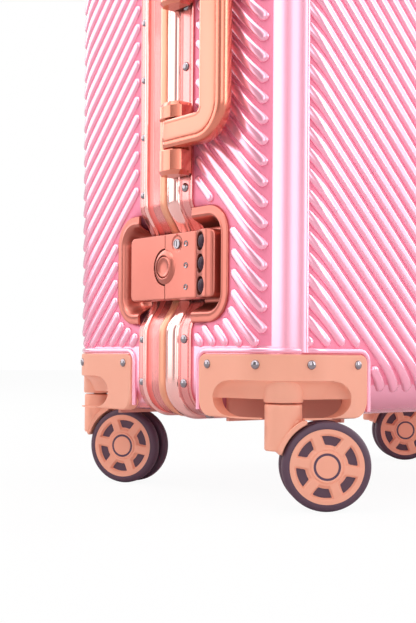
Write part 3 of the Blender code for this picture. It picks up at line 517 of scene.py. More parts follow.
# Plum for the ring round the hub cap, and for the floors of the rim's deep slots as painted shade.
PLUM_RING_AND_SLOT_SHADE = Finish("plum_ring", linear(84, 56, 82), linear(74, 48, 72), (0.35, 0.45), 0.0, 0.00001)
CHROME = Finish("polished_steel", linear(150, 142, 147), linear(134, 126, 132), (0.06, 0.12), 1.0, 0.000005)
# Black moulding for the trolley's grip, bezel and foot, and also the key slot painted black as shade.
BLACK_MOULDING_AND_KEYWAY_SHADE = Finish("black_moulding", linear(44, 36, 42), linear(34, 28, 34), (0.35, 0.5), 0.0, 0.00002, 1500.0)
DIAL = Finish("plum_dial", linear(62, 30, 48), linear(52, 24, 40), (0.5, 0.6), 0.0,
              0.00001, 1500.0, specular=0.25)
TUBE = Finish("rose_gold_tube", linear(214, 150, 138), linear(204, 138, 128),
              (0.2, 0.3), 0.9, 0.00001, 900.0, 10.0, (6, 6, 1))
RED = Finish("red_dot", linear(220, 50, 40), linear(210, 44, 36), (0.3, 0.4))
CLOTH = Finish("plum_lining", linear(104, 74, 86), linear(84, 58, 70), (0.75, 0.9), 0.0,
               0.00012, sheen=0.3, woven=True)


# ---------------------------------------------------------------------------------- the case's outline


@dataclass(frozen=True)
class Outline:
    """The case's rounded outline seen from the front, with the dips behind the two locks."""

    corner: float = 0.021
    least: float = 0.014
    edge: float = 0.039
    dip: float = 0.012
    bend_in: float = 0.0195
    bend_out: float = 0.0445

    def loops(self, insets: Array, spacing: float, corner_steps: int) -> tuple[Array, Array, Array]:
        """The outline drawn in by each inset: x and z as insets x points, and the points' outward normals.

        A corner's centre lies inset + r from both sides, and its arc is centre + r * normal, where
        r = max(corner - inset, least); the straights run between the arcs' ends.
        """
        turns = [np.radians(np.linspace(first, first + 90, corner_steps + 1)) for first in (-90, 0, 90, 180)]
        height, width = DATUM.top - DATUM.bottom, DATUM.right - DATUM.left
        starts, ends, shares, normals = [], [], [], []
        for number, (turn, length) in enumerate(zip(turns, (height, width, height, width))):
            share = np.linspace(0, 1, max(2, round((length - 2 * self.corner) / spacing)) + 1)[1:-1]
            shares += [np.zeros(len(turn)), share]
            starts += [number] * (len(turn) + len(share))
            ends += [(number + 1) % 4] * (len(turn) + len(share))
            normals.append(np.stack([np.cos(turn), np.sin(turn)], axis=1))
            normals.append(np.broadcast_to(normals[-1][-1], (len(share), 2)))
        share, normal = np.concatenate(shares), np.concatenate(normals)
        radius = np.maximum(self.corner - insets, self.least)[:, None]
        reach = insets[:, None] + radius
        right, left = DATUM.right - reach, DATUM.left + reach
        low, high = DATUM.bottom + reach, DATUM.top - reach
        corner_x, corner_z = np.hstack([right, right, left, left]), np.hstack([low, high, high, low])
        x = corner_x[:, starts] * (1 - share) + corner_x[:, ends] * share + radius * normal[:, 0]
        z = corner_z[:, starts] * (1 - share) + corner_z[:, ends] * share + radius * normal[:, 1]
        return x, z, normal

    def dip_at(self, z: Array) -> Array:
        """How far the left side sinks at a height: a smooth bend above and below each lock."""
        away = np.min([np.abs(z - centre) for centre in LOCK_HEIGHTS], axis=0)
        return self.dip * (1 - smooth_step(away, self.bend_in, self.bend_out))


OUTLINE = Outline()
LOCK_HEIGHTS = [float(np.mean([box[2] for box in node_box(f"lock_case_{which}")]))
                for which in ("lower", "upper")]
FRONT_FLANGE, REAR_FLANGE = 0.027, 0.033
TRAY_FRONT, TRAY_REAR, TRAY_HALF_HEIGHT, TRAY_CORNER = 0.065, 0.060, 0.0385, 0.020
KINGPIN_HEIGHT = 0.014


def tray_distance(y: Array, z: Array) -> Array:
    """Distance outside the outline of the nearest lock's tray on the left side, negative inside."""
    middle = DATUM.parting + (TRAY_REAR - TRAY_FRONT) / 2
    half = (TRAY_REAR + TRAY_FRONT) / 2
    return np.min([rounded_box_distance(y - middle, z - centre, half, TRAY_HALF_HEIGHT, TRAY_CORNER)
                   for centre in LOCK_HEIGHTS], axis=0)


def wall_rows(straight: Array, bend: Array, offset: float) -> Array:
    """(distance from the face plane, inset) of each row: straight ones at one inset, then the bend's."""
    return np.concatenate([np.stack([straight, np.full(len(straight), offset)], axis=1), bend])


@dataclass
class ShellHalf:
    """One moulded half shell with its diagonal ribs and the beads around its fittings."""

    half: Half
    wall: float = 0.0022
    rim: float = 0.012
    spacing: float = 0.0035
    pocket_run: float = 0.066
    pocket_rise: float = 0.026
    recess_soft: float = 0.003
    rib_pitch: float = 0.0130
    rib_width: float = 0.0070
    rib_height: float = 0.0021
    shortest_rib: float = 0.009
    rooted: float = 0.0006
    rib_overlap: float = 0.0030
    rib_band: float = 0.0196
    face_band: float = 0.025
    housing_run: float = 0.074
    housing_height: float = 0.0405
    housing_gap: float = 0.0050
    band_start: float = 0.013
    band_end: float = 0.0242

    @property
    def depth(self) -> float:
        """Face to parting line."""
        return abs(DATUM.parting - self.half.face)

    def rows(self, offset: float) -> Array:
        """Rows of (distance from the face plane, inset) from the rim to the face, offset inwards."""
        radius = OUTLINE.edge - offset
        straight = np.arange(self.depth - self.rim, OUTLINE.edge, -self.spacing)
        turn = np.linspace(0, np.pi / 2, 14)
        bend = np.stack([OUTLINE.edge - radius * np.sin(turn), OUTLINE.edge - radius * np.cos(turn)], axis=1)
        return wall_rows(straight, bend, offset)

    def wall_grid(self, offset: float) -> Array:
        """The wall's surface: for each row the case's outline at that row's inset, sunk by the recesses."""
        rows = self.rows(offset)
        x, z, normals = OUTLINE.loops(rows[:, 1], self.spacing, 10)
        y = np.broadcast_to((self.half.face + self.half.inwards * rows[:, 0])[:, None], x.shape)
        return self.sink(x, y, z, normals, offset)

    def sink(self, x: Array, y: Array, z: Array, normals: Array, offset: float) -> Array:
        """Points of a wall or a lining, sunk behind the trays and the frame and lifted over the casters."""
        under_tray = 1 - smooth_step(tray_distance(y, z), -0.010, -0.0015)
        near_frame = 1 - smooth_step(np.abs(y - DATUM.parting), REAR_FLANGE + 0.002, REAR_FLANGE + 0.012)
        sunk = np.maximum(OUTLINE.dip * under_tray, OUTLINE.dip_at(z) * near_frame)
        x = x + facing_left(normals)[None] * sunk
        return np.stack(self.clear_casters(x, y, z, offset), axis=-1)

    def clear_casters(self, x: Array, y: Array, z: Array, offset: float) -> tuple[Array, Array, Array]:
        """Lift the lower corners over the caster recesses, as a box taken out of the case would."""
        run = self.pocket_run + offset
        from_side = DATUM.from_side(x)
        from_face = np.abs(y - self.half.face)
        floor = DATUM.bottom + self.pocket_rise + offset
        soft = run - self.recess_soft
        inside = (1 - smooth_step(from_side, soft, run)) * (1 - smooth_step(from_face, soft, run))
        return x, y, np.where(inside > 0, np.maximum(z, z + (floor - z) * inside), z)

    def build_wall(self) -> bpy.types.Object:
        """The closed shell: outer and inner surfaces joined at the rim, each closed across the face."""
        skin = Skin()
        outer, inner = self.wall_grid(0.0), self.wall_grid(self.wall)
        # Slot 1, the darker pink, lies between the ribs and across the face's flat middle as painted shade.
        skin.cup(outer, inner, self.ribbed(outer), 1)
        return skin.build(f"{self.half.word}_shell_wall", [PEARL.make(), GROOVE_PAINTED_SHADE.make()], 35)

    def ribbed(self, grid: Array) -> Array:
        """1 for each quad of the wall that lies between ribs, where the darker pink paints the shade of the
        grooves, 0 elsewhere.
        """
        corners = [grid, np.roll(grid, -1, axis=1)]
        centres = (corners[0][:-1] + corners[0][1:] + corners[1][:-1] + corners[1][1:]) / 4
        x, y, z = np.moveaxis(centres, -1, 0)
        depth = np.abs(y - self.half.face)
        side = (depth > self.rib_band - 0.001) & (z > DATUM.bottom + self.housing_height + self.housing_gap)
        side &= DATUM.from_side(x) < 0.013
        side &= z < DATUM.top - self.face_band
        top = (depth > self.rib_band) & (z > DATUM.top - 0.013)
        top &= DATUM.from_side(x) > self.face_band
        face = (DATUM.from_side(x) > self.band_end - 0.002) & (depth < 0.0042)
        face &= (z > DATUM.bottom + 0.012) & (z < DATUM.top - 0.012)
        return (side | top | face).astype(int)

    def build_bands(self) -> bpy.types.Object:
        """The flush corner bands: the face rises over 11 mm to the ribs' height and stops sharply."""
        skin = Skin()
        z = np.linspace(DATUM.bottom + self.housing_height + 0.001, DATUM.top - self.face_band, 60)
        for sign in (-1, 1):
            edge = DATUM.left if sign < 0 else DATUM.right
            low = np.full(60, edge - sign * self.band_start)
            high = np.full(60, edge - sign * self.band_end)

            def level(u: Array, v: Array) -> Array:
                """Rise at (z, x): h * smooth step of the way in, eased over the last 0.6 mm."""
                inside = np.abs(v - edge)
                crest = self.rib_height * smooth_step(inside, self.band_start, self.band_end - 0.001)
                over = np.clip((self.band_end - inside) / 0.0006, 0, 1)
                return crest * (0.75 + 0.25 * np.sqrt(1 - (1 - over) ** 2))

            lay = lambda u, v, height: self.face_point(v, u, height)
            plate(z, low, high, 14, level, -self.rooted, lay, skin)
        return skin.build(f"{self.half.word}_corner_bands", [PEARL.make()], 40)

    def side_point(self, sign: int, up: bool) -> Place:
        """A function that lays (u, v, height) on a side, or on the top or bottom, over its rounded edge.

        u is the distance from the big face, and v the height, or the x on the top and bottom. Near the
        face the surface is a quarter circle: depth in = E - sqrt(E^2 - near^2).
        """
        def place(u: Array, v: Array, height: Array) -> Array:
            """One side's surface at (u, v), with height outwards."""
            near = np.maximum(OUTLINE.edge - u, 0)
            rise = np.sqrt(np.maximum(OUTLINE.edge**2 - near**2, 1e-10))
            out = rise + height * rise / OUTLINE.edge - OUTLINE.edge
            y = self.half.face + self.half.inwards * (u - height * near / OUTLINE.edge)
            if up:
                base = DATUM.top if sign > 0 else DATUM.bottom
                return np.stack([v, y, base + sign * out], axis=-1)
            base = DATUM.right if sign > 0 else DATUM.left
            return np.stack([base + sign * out, y, v], axis=-1)
        return place

    def face_point(self, u: Array, v: Array, height: Array) -> Array:
        """Lays (x, z, height) on the big face, rounded off towards all four of its edges."""
        from_side = DATUM.from_side(u)
        near = np.maximum(OUTLINE.edge - from_side, 0)
        near_z = np.maximum(OUTLINE.edge - np.minimum(v - DATUM.bottom, DATUM.top - v), 0)
        rise = np.sqrt(np.maximum(OUTLINE.edge**2 - near**2 - near_z**2, 1e-10))
        out = rise + height * rise / OUTLINE.edge - OUTLINE.edge
        side = np.sign(u - DATUM.centre_x)
        up = np.sign(v - DATUM.middle)
        scale = height / OUTLINE.edge
        return np.stack([u + side * near * scale, self.half.face - self.half.inwards * out,
                         v + up * near_z * scale], axis=-1)

    def rib_lines(self, low: Array, high: Array, slope: int, allowed: Callable[[Array, Array], Array]
                  ) -> list[tuple[Array, Array]]:
        """Ends of the 45 degree ribs that fit where allowed(u, v) is true, at least 9 mm long."""
        found = []
        step = 0.0008
        across = np.arange(low[0], high[0], step)
        span = (high[0] - low[0])
        first = math.floor((low[1] - span) / self.rib_pitch)
        last = math.ceil((high[1] + span) / self.rib_pitch)
        for number in range(first, last):
            v = number * self.rib_pitch + slope * (across - low[0])
            good = allowed(across, v) & (v > low[1]) & (v < high[1])
            edges = np.flatnonzero(np.diff(np.concatenate([[0], good.astype(int), [0]])))
            for start, end in zip(edges[::2], edges[1::2]):
                if (end - start) * step * math.sqrt(2) > self.shortest_rib:
                    found.append((np.array([across[start], v[start]]),
                                  np.array([across[end - 1], v[end - 1]])))
        return found

    def add_ribs(self, skin: Skin, lines: list[tuple[Array, Array]], place: Place) -> None:
        """Add each rib as a low rounded bar with half-round ends.

        Height over (t, s) is h * (1 - r^3.4)^(1/2), where r is the distance to the rib's middle line over
        half its width, so the bar has a broad flat back and steep flanks.
        """
        half = self.rib_width / 2
        share = np.sin(np.linspace(-np.pi / 2, np.pi / 2, 9))
        for start, end in lines:
            length = float(np.hypot(*(end - start)))
            along = (end - start) / length
            across = np.array([-along[1], along[0]])
            ends = half * (1 - np.cos(np.linspace(0, np.pi / 2, 5)))
            middle = np.linspace(half, length - half, max(2, round(length / 0.006)) + 1)[1:-1]
            t = np.concatenate([ends, middle, length - ends[::-1]])
            beyond = np.maximum(np.maximum(half - t, t - (length - half)), 0)
            width = np.sqrt(np.maximum(half**2 - beyond**2, 1e-12))
            s = width[:, None] * share[None]
            reach = np.clip(np.hypot(np.broadcast_to(beyond[:, None], s.shape), s) / half, 0, 1)
            height = self.rib_height * np.sqrt(np.maximum(1 - reach**3.4, 0)) - 0.0001
            uv = start + t[:, None, None] * along + s[..., None] * across
            skin.lattice(place(uv[..., 0], uv[..., 1], height))
            skin.lattice(place(uv[..., 0], uv[..., 1], np.full(height.shape, -self.rooted))[::-1])

    def build_ribs(self) -> list[bpy.types.Object]:
        """The ribbed panels: the big face, both sides and the top, clear of edges and fittings."""
        clear = self.rib_width / 2
        flange = FRONT_FLANGE if self.half is Half.FRONT else REAR_FLANGE
        reach = self.depth - flange - 0.0015
        housing_top = DATUM.bottom + self.housing_height + self.housing_gap
        made = []

        def on_face(u: Array, v: Array) -> Array:
            """Where the big face is ribbed: between the bands, clear of the guards."""
            start = self.band_end - self.rib_overlap
            inside = (u > DATUM.left + start) & (u < DATUM.right - start)
            inside &= (v > DATUM.bottom + 0.0168) & (v < DATUM.top - self.face_band)
            run = self.housing_run + self.housing_gap
            corner = (DATUM.from_side(u) < run) & (v < housing_top)
            return inside & ~corner

        skin = Skin()
        low = np.array([DATUM.left, DATUM.bottom])
        high = np.array([DATUM.right, DATUM.top])
        lines = self.rib_lines(low, high, -self.half.inwards, on_face)
        self.add_ribs(skin, lines, self.face_point)
        made.append(skin.build(f"{self.half.word}_face_ribs", [PEARL.make()], 60))

        skin = Skin()
        sides = Skin()
        for sign in (-1, 1):
            def on_side(u: Array, v: Array) -> Array:
                """Where this side is ribbed: from the edge to the flange, clear of the trays."""
                inside = (u > self.rib_band) & (u < reach - clear * 0.4)
                inside &= (v > housing_top) & (v < DATUM.top - self.face_band)
                if sign < 0:
                    inside &= tray_distance(self.half.face + self.half.inwards * u, v) > clear * 0.6
                return inside
            lines = self.rib_lines(np.array([0.0, DATUM.bottom]), np.array([self.depth, DATUM.top]), 1,
                                   on_side)
            self.add_ribs(sides, lines, self.side_point(sign, up=False))
        made.append(sides.build(f"{self.half.word}_side_ribs", [PEARL.make()], 60))

        def on_top(u: Array, v: Array) -> Array:
            """Where the top is ribbed: between the corners, clear of the bezel."""
            inside = (u > self.rib_band) & (u < reach - clear * 0.4)
            inside &= (v > DATUM.left + OUTLINE.corner) & (v < DATUM.right - OUTLINE.corner)
            if self.half is Half.REAR:
                low_corner, high_corner = node_box("trolley_bezel")
                bezel = (v > low_corner[0] - 0.005) & (v < high_corner[0] + 0.005)
                bezel &= u < DATUM.back - low_corner[1] + 0.004
                inside &= ~bezel
            return inside

        lines = self.rib_lines(np.array([0.0, DATUM.left]), np.array([self.depth, DATUM.right]), 1, on_top)
        self.add_ribs(skin, lines, self.side_point(1, up=True))
        made.append(skin.build(f"{self.half.word}_top_ribs", [PEARL.make()], 60))
        return made

    def build(self) -> None:
        """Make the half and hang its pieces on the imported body."""
        wall = self.build_wall()
        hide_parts(f"{self.half.word}_shell")
        for piece in [wall, self.build_bands(), *self.build_ribs()]:
            hang(piece, self.half.value)


# --------------------------------------------------------------------------------------- frame rings


@dataclass
class FrameRing:
    """One aluminium ring of the frame, its grooves and its row of rivets."""

    half: Half
    spacing: float = 0.004
    rivet_radius: float = 0.0031
    rivet_pitch: float = 0.0407
    first_rivet: float = 0.331

    def section(self) -> tuple[list[tuple[float, float]], list[int]]:
        """The closed profile as (distance from the parting line, height over the side) and its slots.

        Slots are 0 flange metal, 1 polished bead, 2 tongue, 3 coral channel.
        """
        if self.half is Half.FRONT:
            points = [(26.9, -0.2), (27, 0.3), (27, 1.3), (26.5, 1.7), (25.5, 1.7)]
            for groove in (25.1, 24.2, 16.6, 15.7):
                points += [(groove + 0.15, 1.65), (groove, 1.25), (groove - 0.25, 1.25),
                           (groove - 0.4, 1.65)]
            flange_count = len(points)
            points += [(14.1, 1.6), (13.7, 1.25), (13.4, 1.25), (13.1, 1.9)]
            turn = np.linspace(0.25, np.pi - 0.38, 15)
            points += [(6.7 + 6.5 * math.cos(a), 1.2 + 3.2 * math.sin(a) ** 0.8) for a in turn]
            points += [(0.35, 2.0), (0.30, -2.6), (11.7, -3.0), (11.7, 0.0)]
            slots = [0] * flange_count + [1] * (len(points) - flange_count)
            return [(-y / 1000, height / 1000) for y, height in points], slots
        points = [(0.30, -2.6), (0.35, 2.2), (0.8, 2.9), (1.8, 3.25), (3.6, 3.3), (5.6, 3.2), (7.0, 2.8),
                  (7.7, 2.1)]
        slots = [2] * len(points)
        for band in np.arange(8.2, 15.6, 1.05):
            points += [(band, 1.45), (band + 0.2, 1.8), (band + 0.75, 1.8), (band + 0.95, 1.45)]
            slots += [0] * 4
        points += [(16.2, 1.9), (16.7, 1.9), (17.0, 1.2), (22.6, 1.2), (22.9, 1.6)]
        slots += [0, 0, 3, 3, 1]
        turn = np.linspace(0.1, np.pi - 0.1, 9)
        points += [(24.7 - 1.8 * math.cos(a), 1.5 + 1.85 * math.sin(a)) for a in turn]
        slots += [1] * 9
        points += [(26.7, 1.25), (27.0, 1.65)]
        for groove in (27.4, 31.4):
            points += [(groove, 1.65), (groove + 0.15, 1.3), (groove + 0.35, 1.3), (groove + 0.5, 1.65)]
        points += [(32.4, 1.7), (33, 1.3), (33, 0.3), (32.9, -0.2), (11.7, 0.0), (11.7, -3.0)]
        slots += [0] * (len(points) - len(slots))
        return [(y / 1000, height / 1000) for y, height in points], slots

    def build_ring(self) -> bpy.types.Object:
        """Carry the profile around the case: point = corner centre + normal * (radius + height)."""
        section, slots = self.section()
        profile = np.array(section)
        x, z, normals = OUTLINE.loops(-profile[:, 1], self.spacing, 14)
        x, z = x.T, z.T
        x = x + facing_left(normals)[:, None] * OUTLINE.dip_at(z)
        y = np.broadcast_to(DATUM.parting + profile[None, :, 0], x.shape)
        skin = Skin()
        skin.lattice(np.stack([x, y, z], axis=-1), around=True, along=True,
                     slot=np.broadcast_to(slots, x.shape))
        finishes = [finish.make() for finish in (ANODISED, POLISHED, TONGUE, CORAL)]
        return skin.build(f"{self.half.word}_frame_profile", finishes, 28)

    def rivet_places(self) -> list[tuple[float, float, float, float]]:
        """(x, z, normal x, normal z) of each rivet: evenly on all four sides, off the locks."""
        offset = 1.65 / 1000
        found = []
        heights = [self.first_rivet + step * self.rivet_pitch for step in range(-7, 6)]
        for z in heights:
            if DATUM.bottom + 0.060 < z < DATUM.top - 0.060:
                if min(abs(z - centre) for centre in LOCK_HEIGHTS) > OUTLINE.bend_out - 0.002:
                    found.append((DATUM.left - offset, z, -1.0, 0.0))
                found.append((DATUM.right + offset, z, 1.0, 0.0))
        for z in (DATUM.bottom + 0.0208, DATUM.bottom + 0.0504, DATUM.top - 0.0504, DATUM.top - 0.0208):
            found += [(DATUM.left - offset, z, -1.0, 0.0), (DATUM.right + offset, z, 1.0, 0.0)]
        span = DATUM.right - DATUM.left - 2 * OUTLINE.corner
        for step in range(8):
            x = DATUM.left + OUTLINE.corner + span * step / 7
            found += [(x, DATUM.top + offset, 0.0, 1.0), (x, DATUM.bottom - offset, 0.0, -1.0)]
        return found

    def build_rivets(self) -> bpy.types.Object:
        """Low domes on a thin collar, in one mesh."""
        skin = Skin()
        y = DATUM.parting - 0.0200 if self.half is Half.FRONT else DATUM.parting + 0.0286
        r = self.rivet_radius if self.half is Half.FRONT else self.rivet_radius * 0.82
        for x, z, nx, nz in self.rivet_places():
            turned(dome(r), np.array([x, y, z]), np.array([nx, 0.0, nz]), 20, skin)
        return skin.build(f"{self.half.word}_frame_rivets", [CHROME.make()], 40)

    def build(self) -> None:
        """Make the ring and its rivets and hang them on the half."""
        ring, rivets = self.build_ring(), self.build_rivets()
        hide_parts(f"{self.half.word}_frame")
        for piece, slot in ((ring, "frame"), (rivets, "chrome")):
            hang(piece, self.half.value)


# ---------------------------------------------------------------------------------- caster housings


@dataclass
class Housing:
    """A moulded corner guard that holds a caster: panel with a sunk mouth, lip, well and cap."""

    half: Half
    sign: int
    proud: float = 0.002
    run_face: float = 0.073
    short: float = 0.0032
    mouth_low: float = 0.0009
    mouth_high: float = 0.0236
    mouth_end_run: float = 0.0172
    facet_depth: float = 0.0095
    well_run: float = 0.0605
    well: float = 0.0122
    height: float = 0.0405
    top_radius: float = 0.006
    low_radius: float = 0.011
    cap_radius: float = 0.0125
    screw_radius: float = 0.0029
    mouth_on_face: float = 0.0580
    mouth_on_side: float = 0.0635
    sheet: float = 0.003
    skirt: float = 0.0032

    def __post_init__(self) -> None:
        """Read the guard's own box and work out the lengths of its two runs."""
        side = "left" if self.sign < 0 else "right"
        self.where = f"{self.half.word}_{side}"
        self.node = f"wheel_housing_{self.where}"
        low, high = node_box(self.node)
        self.bottom, self.top = low[2], low[2] + self.height
        self.corner_x = DATUM.left if self.sign < 0 else DATUM.right
        self.corner_y = self.half.face
        self.run_side = (high[1] - low[1]) - self.proud - self.short
        self.edge = OUTLINE.edge
        self.bend = np.pi / 2 * self.edge
        self.straight_face = self.run_face - self.edge
        self.length = self.straight_face + self.bend + self.run_side - self.edge
        self.mouth_start = self.run_face - self.mouth_on_face
        self.mouth_end = self.length - self.run_side + self.mouth_on_side

    def place(self, s: Array, z: Array, height: Array) -> Array:
        """Points at arc length s along the corner: straight, then a quarter circle, then straight.

        s = 0 is the end on the big face, and height stands out from the case's surface.
        """
        turn = np.clip((s - self.straight_face) / self.edge, 0, np.pi / 2)
        past = np.maximum(s - self.straight_face - self.bend, 0)
        before = np.maximum(self.straight_face - s, 0)
        radius = self.edge + height
        a = self.edge - radius * np.sin(turn) + before
        b = self.edge - radius * np.cos(turn) + past
        return np.stack([self.corner_x - self.sign * a, self.corner_y + self.half.inwards * b, z], axis=-1)

    def outline_distance(self, s: Array, z: Array, grow: float) -> Array:
        """Distance outside the panel's outline: small radii above, large ones below."""
        middle = (self.bottom + self.top) / 2
        half_s, half_z = self.length / 2 + grow, (self.top - self.bottom) / 2 + grow
        u, v = s - self.length / 2, z - middle
        upper = rounded_box_distance(u, v, half_s, half_z, self.top_radius + grow)
        lower = rounded_box_distance(u, v, half_s, half_z, self.low_radius + grow)
        return np.where(v > 0, upper, lower)

    def mouth_share(self, s: Array, z: Array) -> Array:
        """0 along the mouth's middle line and 1 on its outline, whose ends are half ellipses."""
        middle = self.bottom + self.well
        beyond = np.maximum(self.mouth_start + self.mouth_end_run - s,
                            s - self.mouth_end + self.mouth_end_run)
        half = np.where(z > middle, self.mouth_high - self.well, self.well - self.mouth_low)
        return np.hypot(np.maximum(beyond, 0) / self.mouth_end_run, (z - middle) / half)

    def surface(self, s: Array, z: Array) -> Array:
        """The panel's height: proud, rounded over at its outline, with a scoop that deepens from the
        mouth's outline to its middle line: depth = D * (1 - share)^0.4."""
        inside = np.clip(-self.outline_distance(s, z, 0.0), 0, 0.0010)
        rim = 0.0010 - other_leg(0.0010, 0.0010 - inside)
        scoop = np.clip(1 - self.mouth_share(s, z), 0, 1) ** 0.4
        return self.proud - rim - self.facet_depth * scoop

    def edge_limits(self, s: Array) -> tuple[Array, Array]:
        """Lowest and highest z of the panel at each s, drawn in at its rounded ends."""
        near = np.minimum(s, self.length - s)
        low_in = np.maximum(self.low_radius - near, 0)
        top_in = np.maximum(self.top_radius - near, 0)
        low = self.bottom + self.low_radius - other_leg(self.low_radius, low_in)
        high = self.top - self.top_radius + other_leg(self.top_radius, top_in)
        return low, high

    def stations(self) -> Array:
        """Positions along the guard, closer at its ends and at the ends of the mouth."""
        dense = [np.linspace(0, 0.003, 7), np.linspace(self.length - 0.003, self.length, 7)]
        dense += [np.arange(self.mouth_start - 0.001, self.mouth_start + 0.019, 0.0007),
                  np.arange(self.mouth_end - 0.019, self.mouth_end + 0.001, 0.0007),
                  np.arange(0.003, self.length - 0.003, 0.002)]
        found = np.unique(np.round(np.concatenate(dense), 5))
        keep = np.concatenate([[True], np.diff(found) > 0.00025])
        return found[keep]

    def leg(self, skin: Skin, outer: float, inner_sign: int) -> None:
        """One end of the guard below the well's ceiling, from its outer edge to the mouth."""
        ceiling = self.bottom + self.well
        z = self.bottom + self.well * np.sin(np.linspace(0, np.pi / 2, 29))
        low_in = np.maximum(self.bottom + self.low_radius - z, 0)
        edge = self.low_radius - other_leg(self.low_radius, low_in)
        share = np.clip((ceiling - z) / (self.well - self.mouth_low), 0, 1)
        arc = self.mouth_end_run * (1 - np.sqrt(1 - share**2))
        if inner_sign > 0:
            start, end = outer + edge, self.mouth_start + arc
        else:
            start, end = outer - edge, self.mouth_end - arc
        lay = lambda u, v, height: self.place(v, u, height)
        plate(z, start, end, 24, lambda u, v: self.surface(v, u), -0.0060, lay, skin)

    def lip(self, skin: Skin) -> None:
        """The thin strip under the mouth, left open where the caster's stem stands."""
        middle = self.straight_face + self.bend / 2
        gap = 0.0135
        for start, end in ((self.mouth_start + self.mouth_end_run - 0.001, middle - gap),
                           (middle + gap, self.mouth_end - self.mouth_end_run + 0.001)):
            s = np.linspace(start, end, 40)
            low = np.full(s.shape, self.bottom)
            high = np.full(s.shape, self.bottom + self.mouth_low)
            plate(s, low, high, 4, lambda u, v: np.full(u.shape, self.proud - 0.0002), -0.0020, self.place,
                  skin)

    def build_panel(self) -> bpy.types.Object:
        """The guard: panel, legs, lip, the well's ceiling and inner walls in darker peach as painted shade,
        and the cap over the swivel.
        """
        skin = Skin()
        s = self.stations()
        low, high = self.edge_limits(s)
        ceiling = self.bottom + self.well
        plate(s, np.maximum(low, ceiling), high, 56, self.surface, -self.facet_depth, self.place, skin)
        self.leg(skin, 0.0, 1)
        self.leg(skin, self.length, -1)
        self.lip(skin)
        inset = self.facet_depth
        turn = np.linspace(0, np.pi / 2, 13)
        arc_s = self.straight_face + turn * self.edge
        rim = self.place(arc_s, np.full(13, ceiling), np.full(13, -inset))[:, :2]
        run, sheet = self.well_run, self.sheet

        def corner(a: float, b: float) -> list[float]:
            """(x, y) at distances a and b in from the case's corner."""
            return [self.corner_x - self.sign * a, self.corner_y + self.half.inwards * b]
        outline = np.array([corner(run, inset), *rim.tolist(), corner(inset, run), corner(run, run)])
        rings = [np.column_stack([outline, np.full(len(outline), z)]) for z in (ceiling, ceiling + sheet)]
        # Slot 1 gives the well's ceiling and inner walls the darker peach: painted shade inside the well.
        skin.closed_stack(np.array(rings), slot=1)
        for first, last in (((run, inset), (run + sheet, run + sheet)), ((inset, run), (run, run + sheet))):
            (ax, ay), (bx, by) = corner(*first), corner(*last)
            loop = np.array([(ax, ay), (bx, ay), (bx, by), (ax, by)])
            walls = [np.column_stack([loop, np.full(4, z)])
                     for z in (self.bottom - self.skirt, ceiling + sheet)]
            skin.closed_stack(np.array(walls), slot=1)
        axis = swivel_axis(self.where)
        drop = node_box(f"caster_fork_{self.where}")[1][2] - KINGPIN_HEIGHT + 0.001
        rounding = [(height, self.cap_radius - 0.0008 + inset) for inset, height in
                    ((0.0, drop), (0.0005, drop + 0.0002), (0.0008, drop + 0.0008))]
        turned([*rounding, (self.bottom + self.mouth_high + 0.002, self.cap_radius)],
               np.array([axis[0], axis[1], 0.0]), np.array([0, 0, 1.0]), 64, skin, slot=0)
        return skin.build(f"{self.node}_guard", [PEACH.make(), WELL_PAINTED_SHADE.make()], 42)

    def build_screws(self) -> bpy.types.Object:
        """Four domed screws along the guard's upper edge."""
        skin = Skin()
        z = self.top - 0.0066
        past_bend = self.length - self.run_side
        places = (self.run_face - 0.0639, self.run_face - 0.0258, past_bend + 0.0251, self.length - 0.0095)
        for s in places:
            at, out = (self.place(np.array(s), np.array(z), np.array(h))
                       for h in (self.proud, self.proud + 0.01))
            r = self.screw_radius
            turned(dome(r), at, out - at, 24, skin)
        return skin.build(f"{self.node}_screws", [CHROME.make()], 40)

    def build_border(self) -> bpy.types.Object:
        """The shell's own raised bead around the guard: a rounded section carried along its outline."""
        reach, half = 0.0022, 0.0018
        radius = self.top_radius + reach
        turn = np.radians(np.linspace(180, 90, 12))
        left = np.stack([radius - reach + radius * np.cos(turn),
                         self.top + reach - radius + radius * np.sin(turn)], axis=1)
        right = left[::-1] * [-1, 1] + [self.length, 0]
        rise = np.linspace(DATUM.bottom + 0.004, left[0, 1], 12)[:-1]
        run = np.linspace(left[-1, 0], right[0, 0], 90)[1:-1]
        path = np.concatenate([np.column_stack([np.full(11, -reach), rise]), left,
                               np.column_stack([run, np.full(88, self.top + reach)]), right,
                               np.column_stack([np.full(11, self.length + reach), rise[::-1]])])
        ahead = np.gradient(path, axis=0)
        ahead /= np.linalg.norm(ahead, axis=1, keepdims=True)
        outwards = np.column_stack([-ahead[:, 1], ahead[:, 0]])
        arch = np.linspace(0, np.pi, 11)
        across, up = half * np.cos(arch), 0.0017 * np.sin(arch) ** 0.7
        across, up = np.append(across, [-half, half]), np.append(up, [-0.0006, -0.0006])
        uv = path[:, None] + outwards[:, None] * across[None, :, None]
        skin = Skin()
        skin.closed_stack(self.place(uv[..., 0], uv[..., 1], np.broadcast_to(up, uv.shape[:2])))
        return skin.build(f"{self.node}_border", [PEARL.make()], 50)

    def build(self) -> None:
        """Make the guard's pieces and hang them on the half."""
        panel, screws, border = self.build_panel(), self.build_screws(), self.build_border()
        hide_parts(self.node)
        for piece, slot in ((panel, "housing"), (screws, "chrome"), (border, "shell")):
            hang(piece, self.half.value)


# ------------------------------------------------------------------------------------------- casters


def joint_place(name: str) -> Array:
    """Where a joint's axis passes."""
    return np.array(JOINTS[name]["pos_m"], float)


def swivel_axis(where: str) -> Array:
    """The x and y of a caster's upright axis."""
    return joint_place(f"swivel_{where}")[:2]


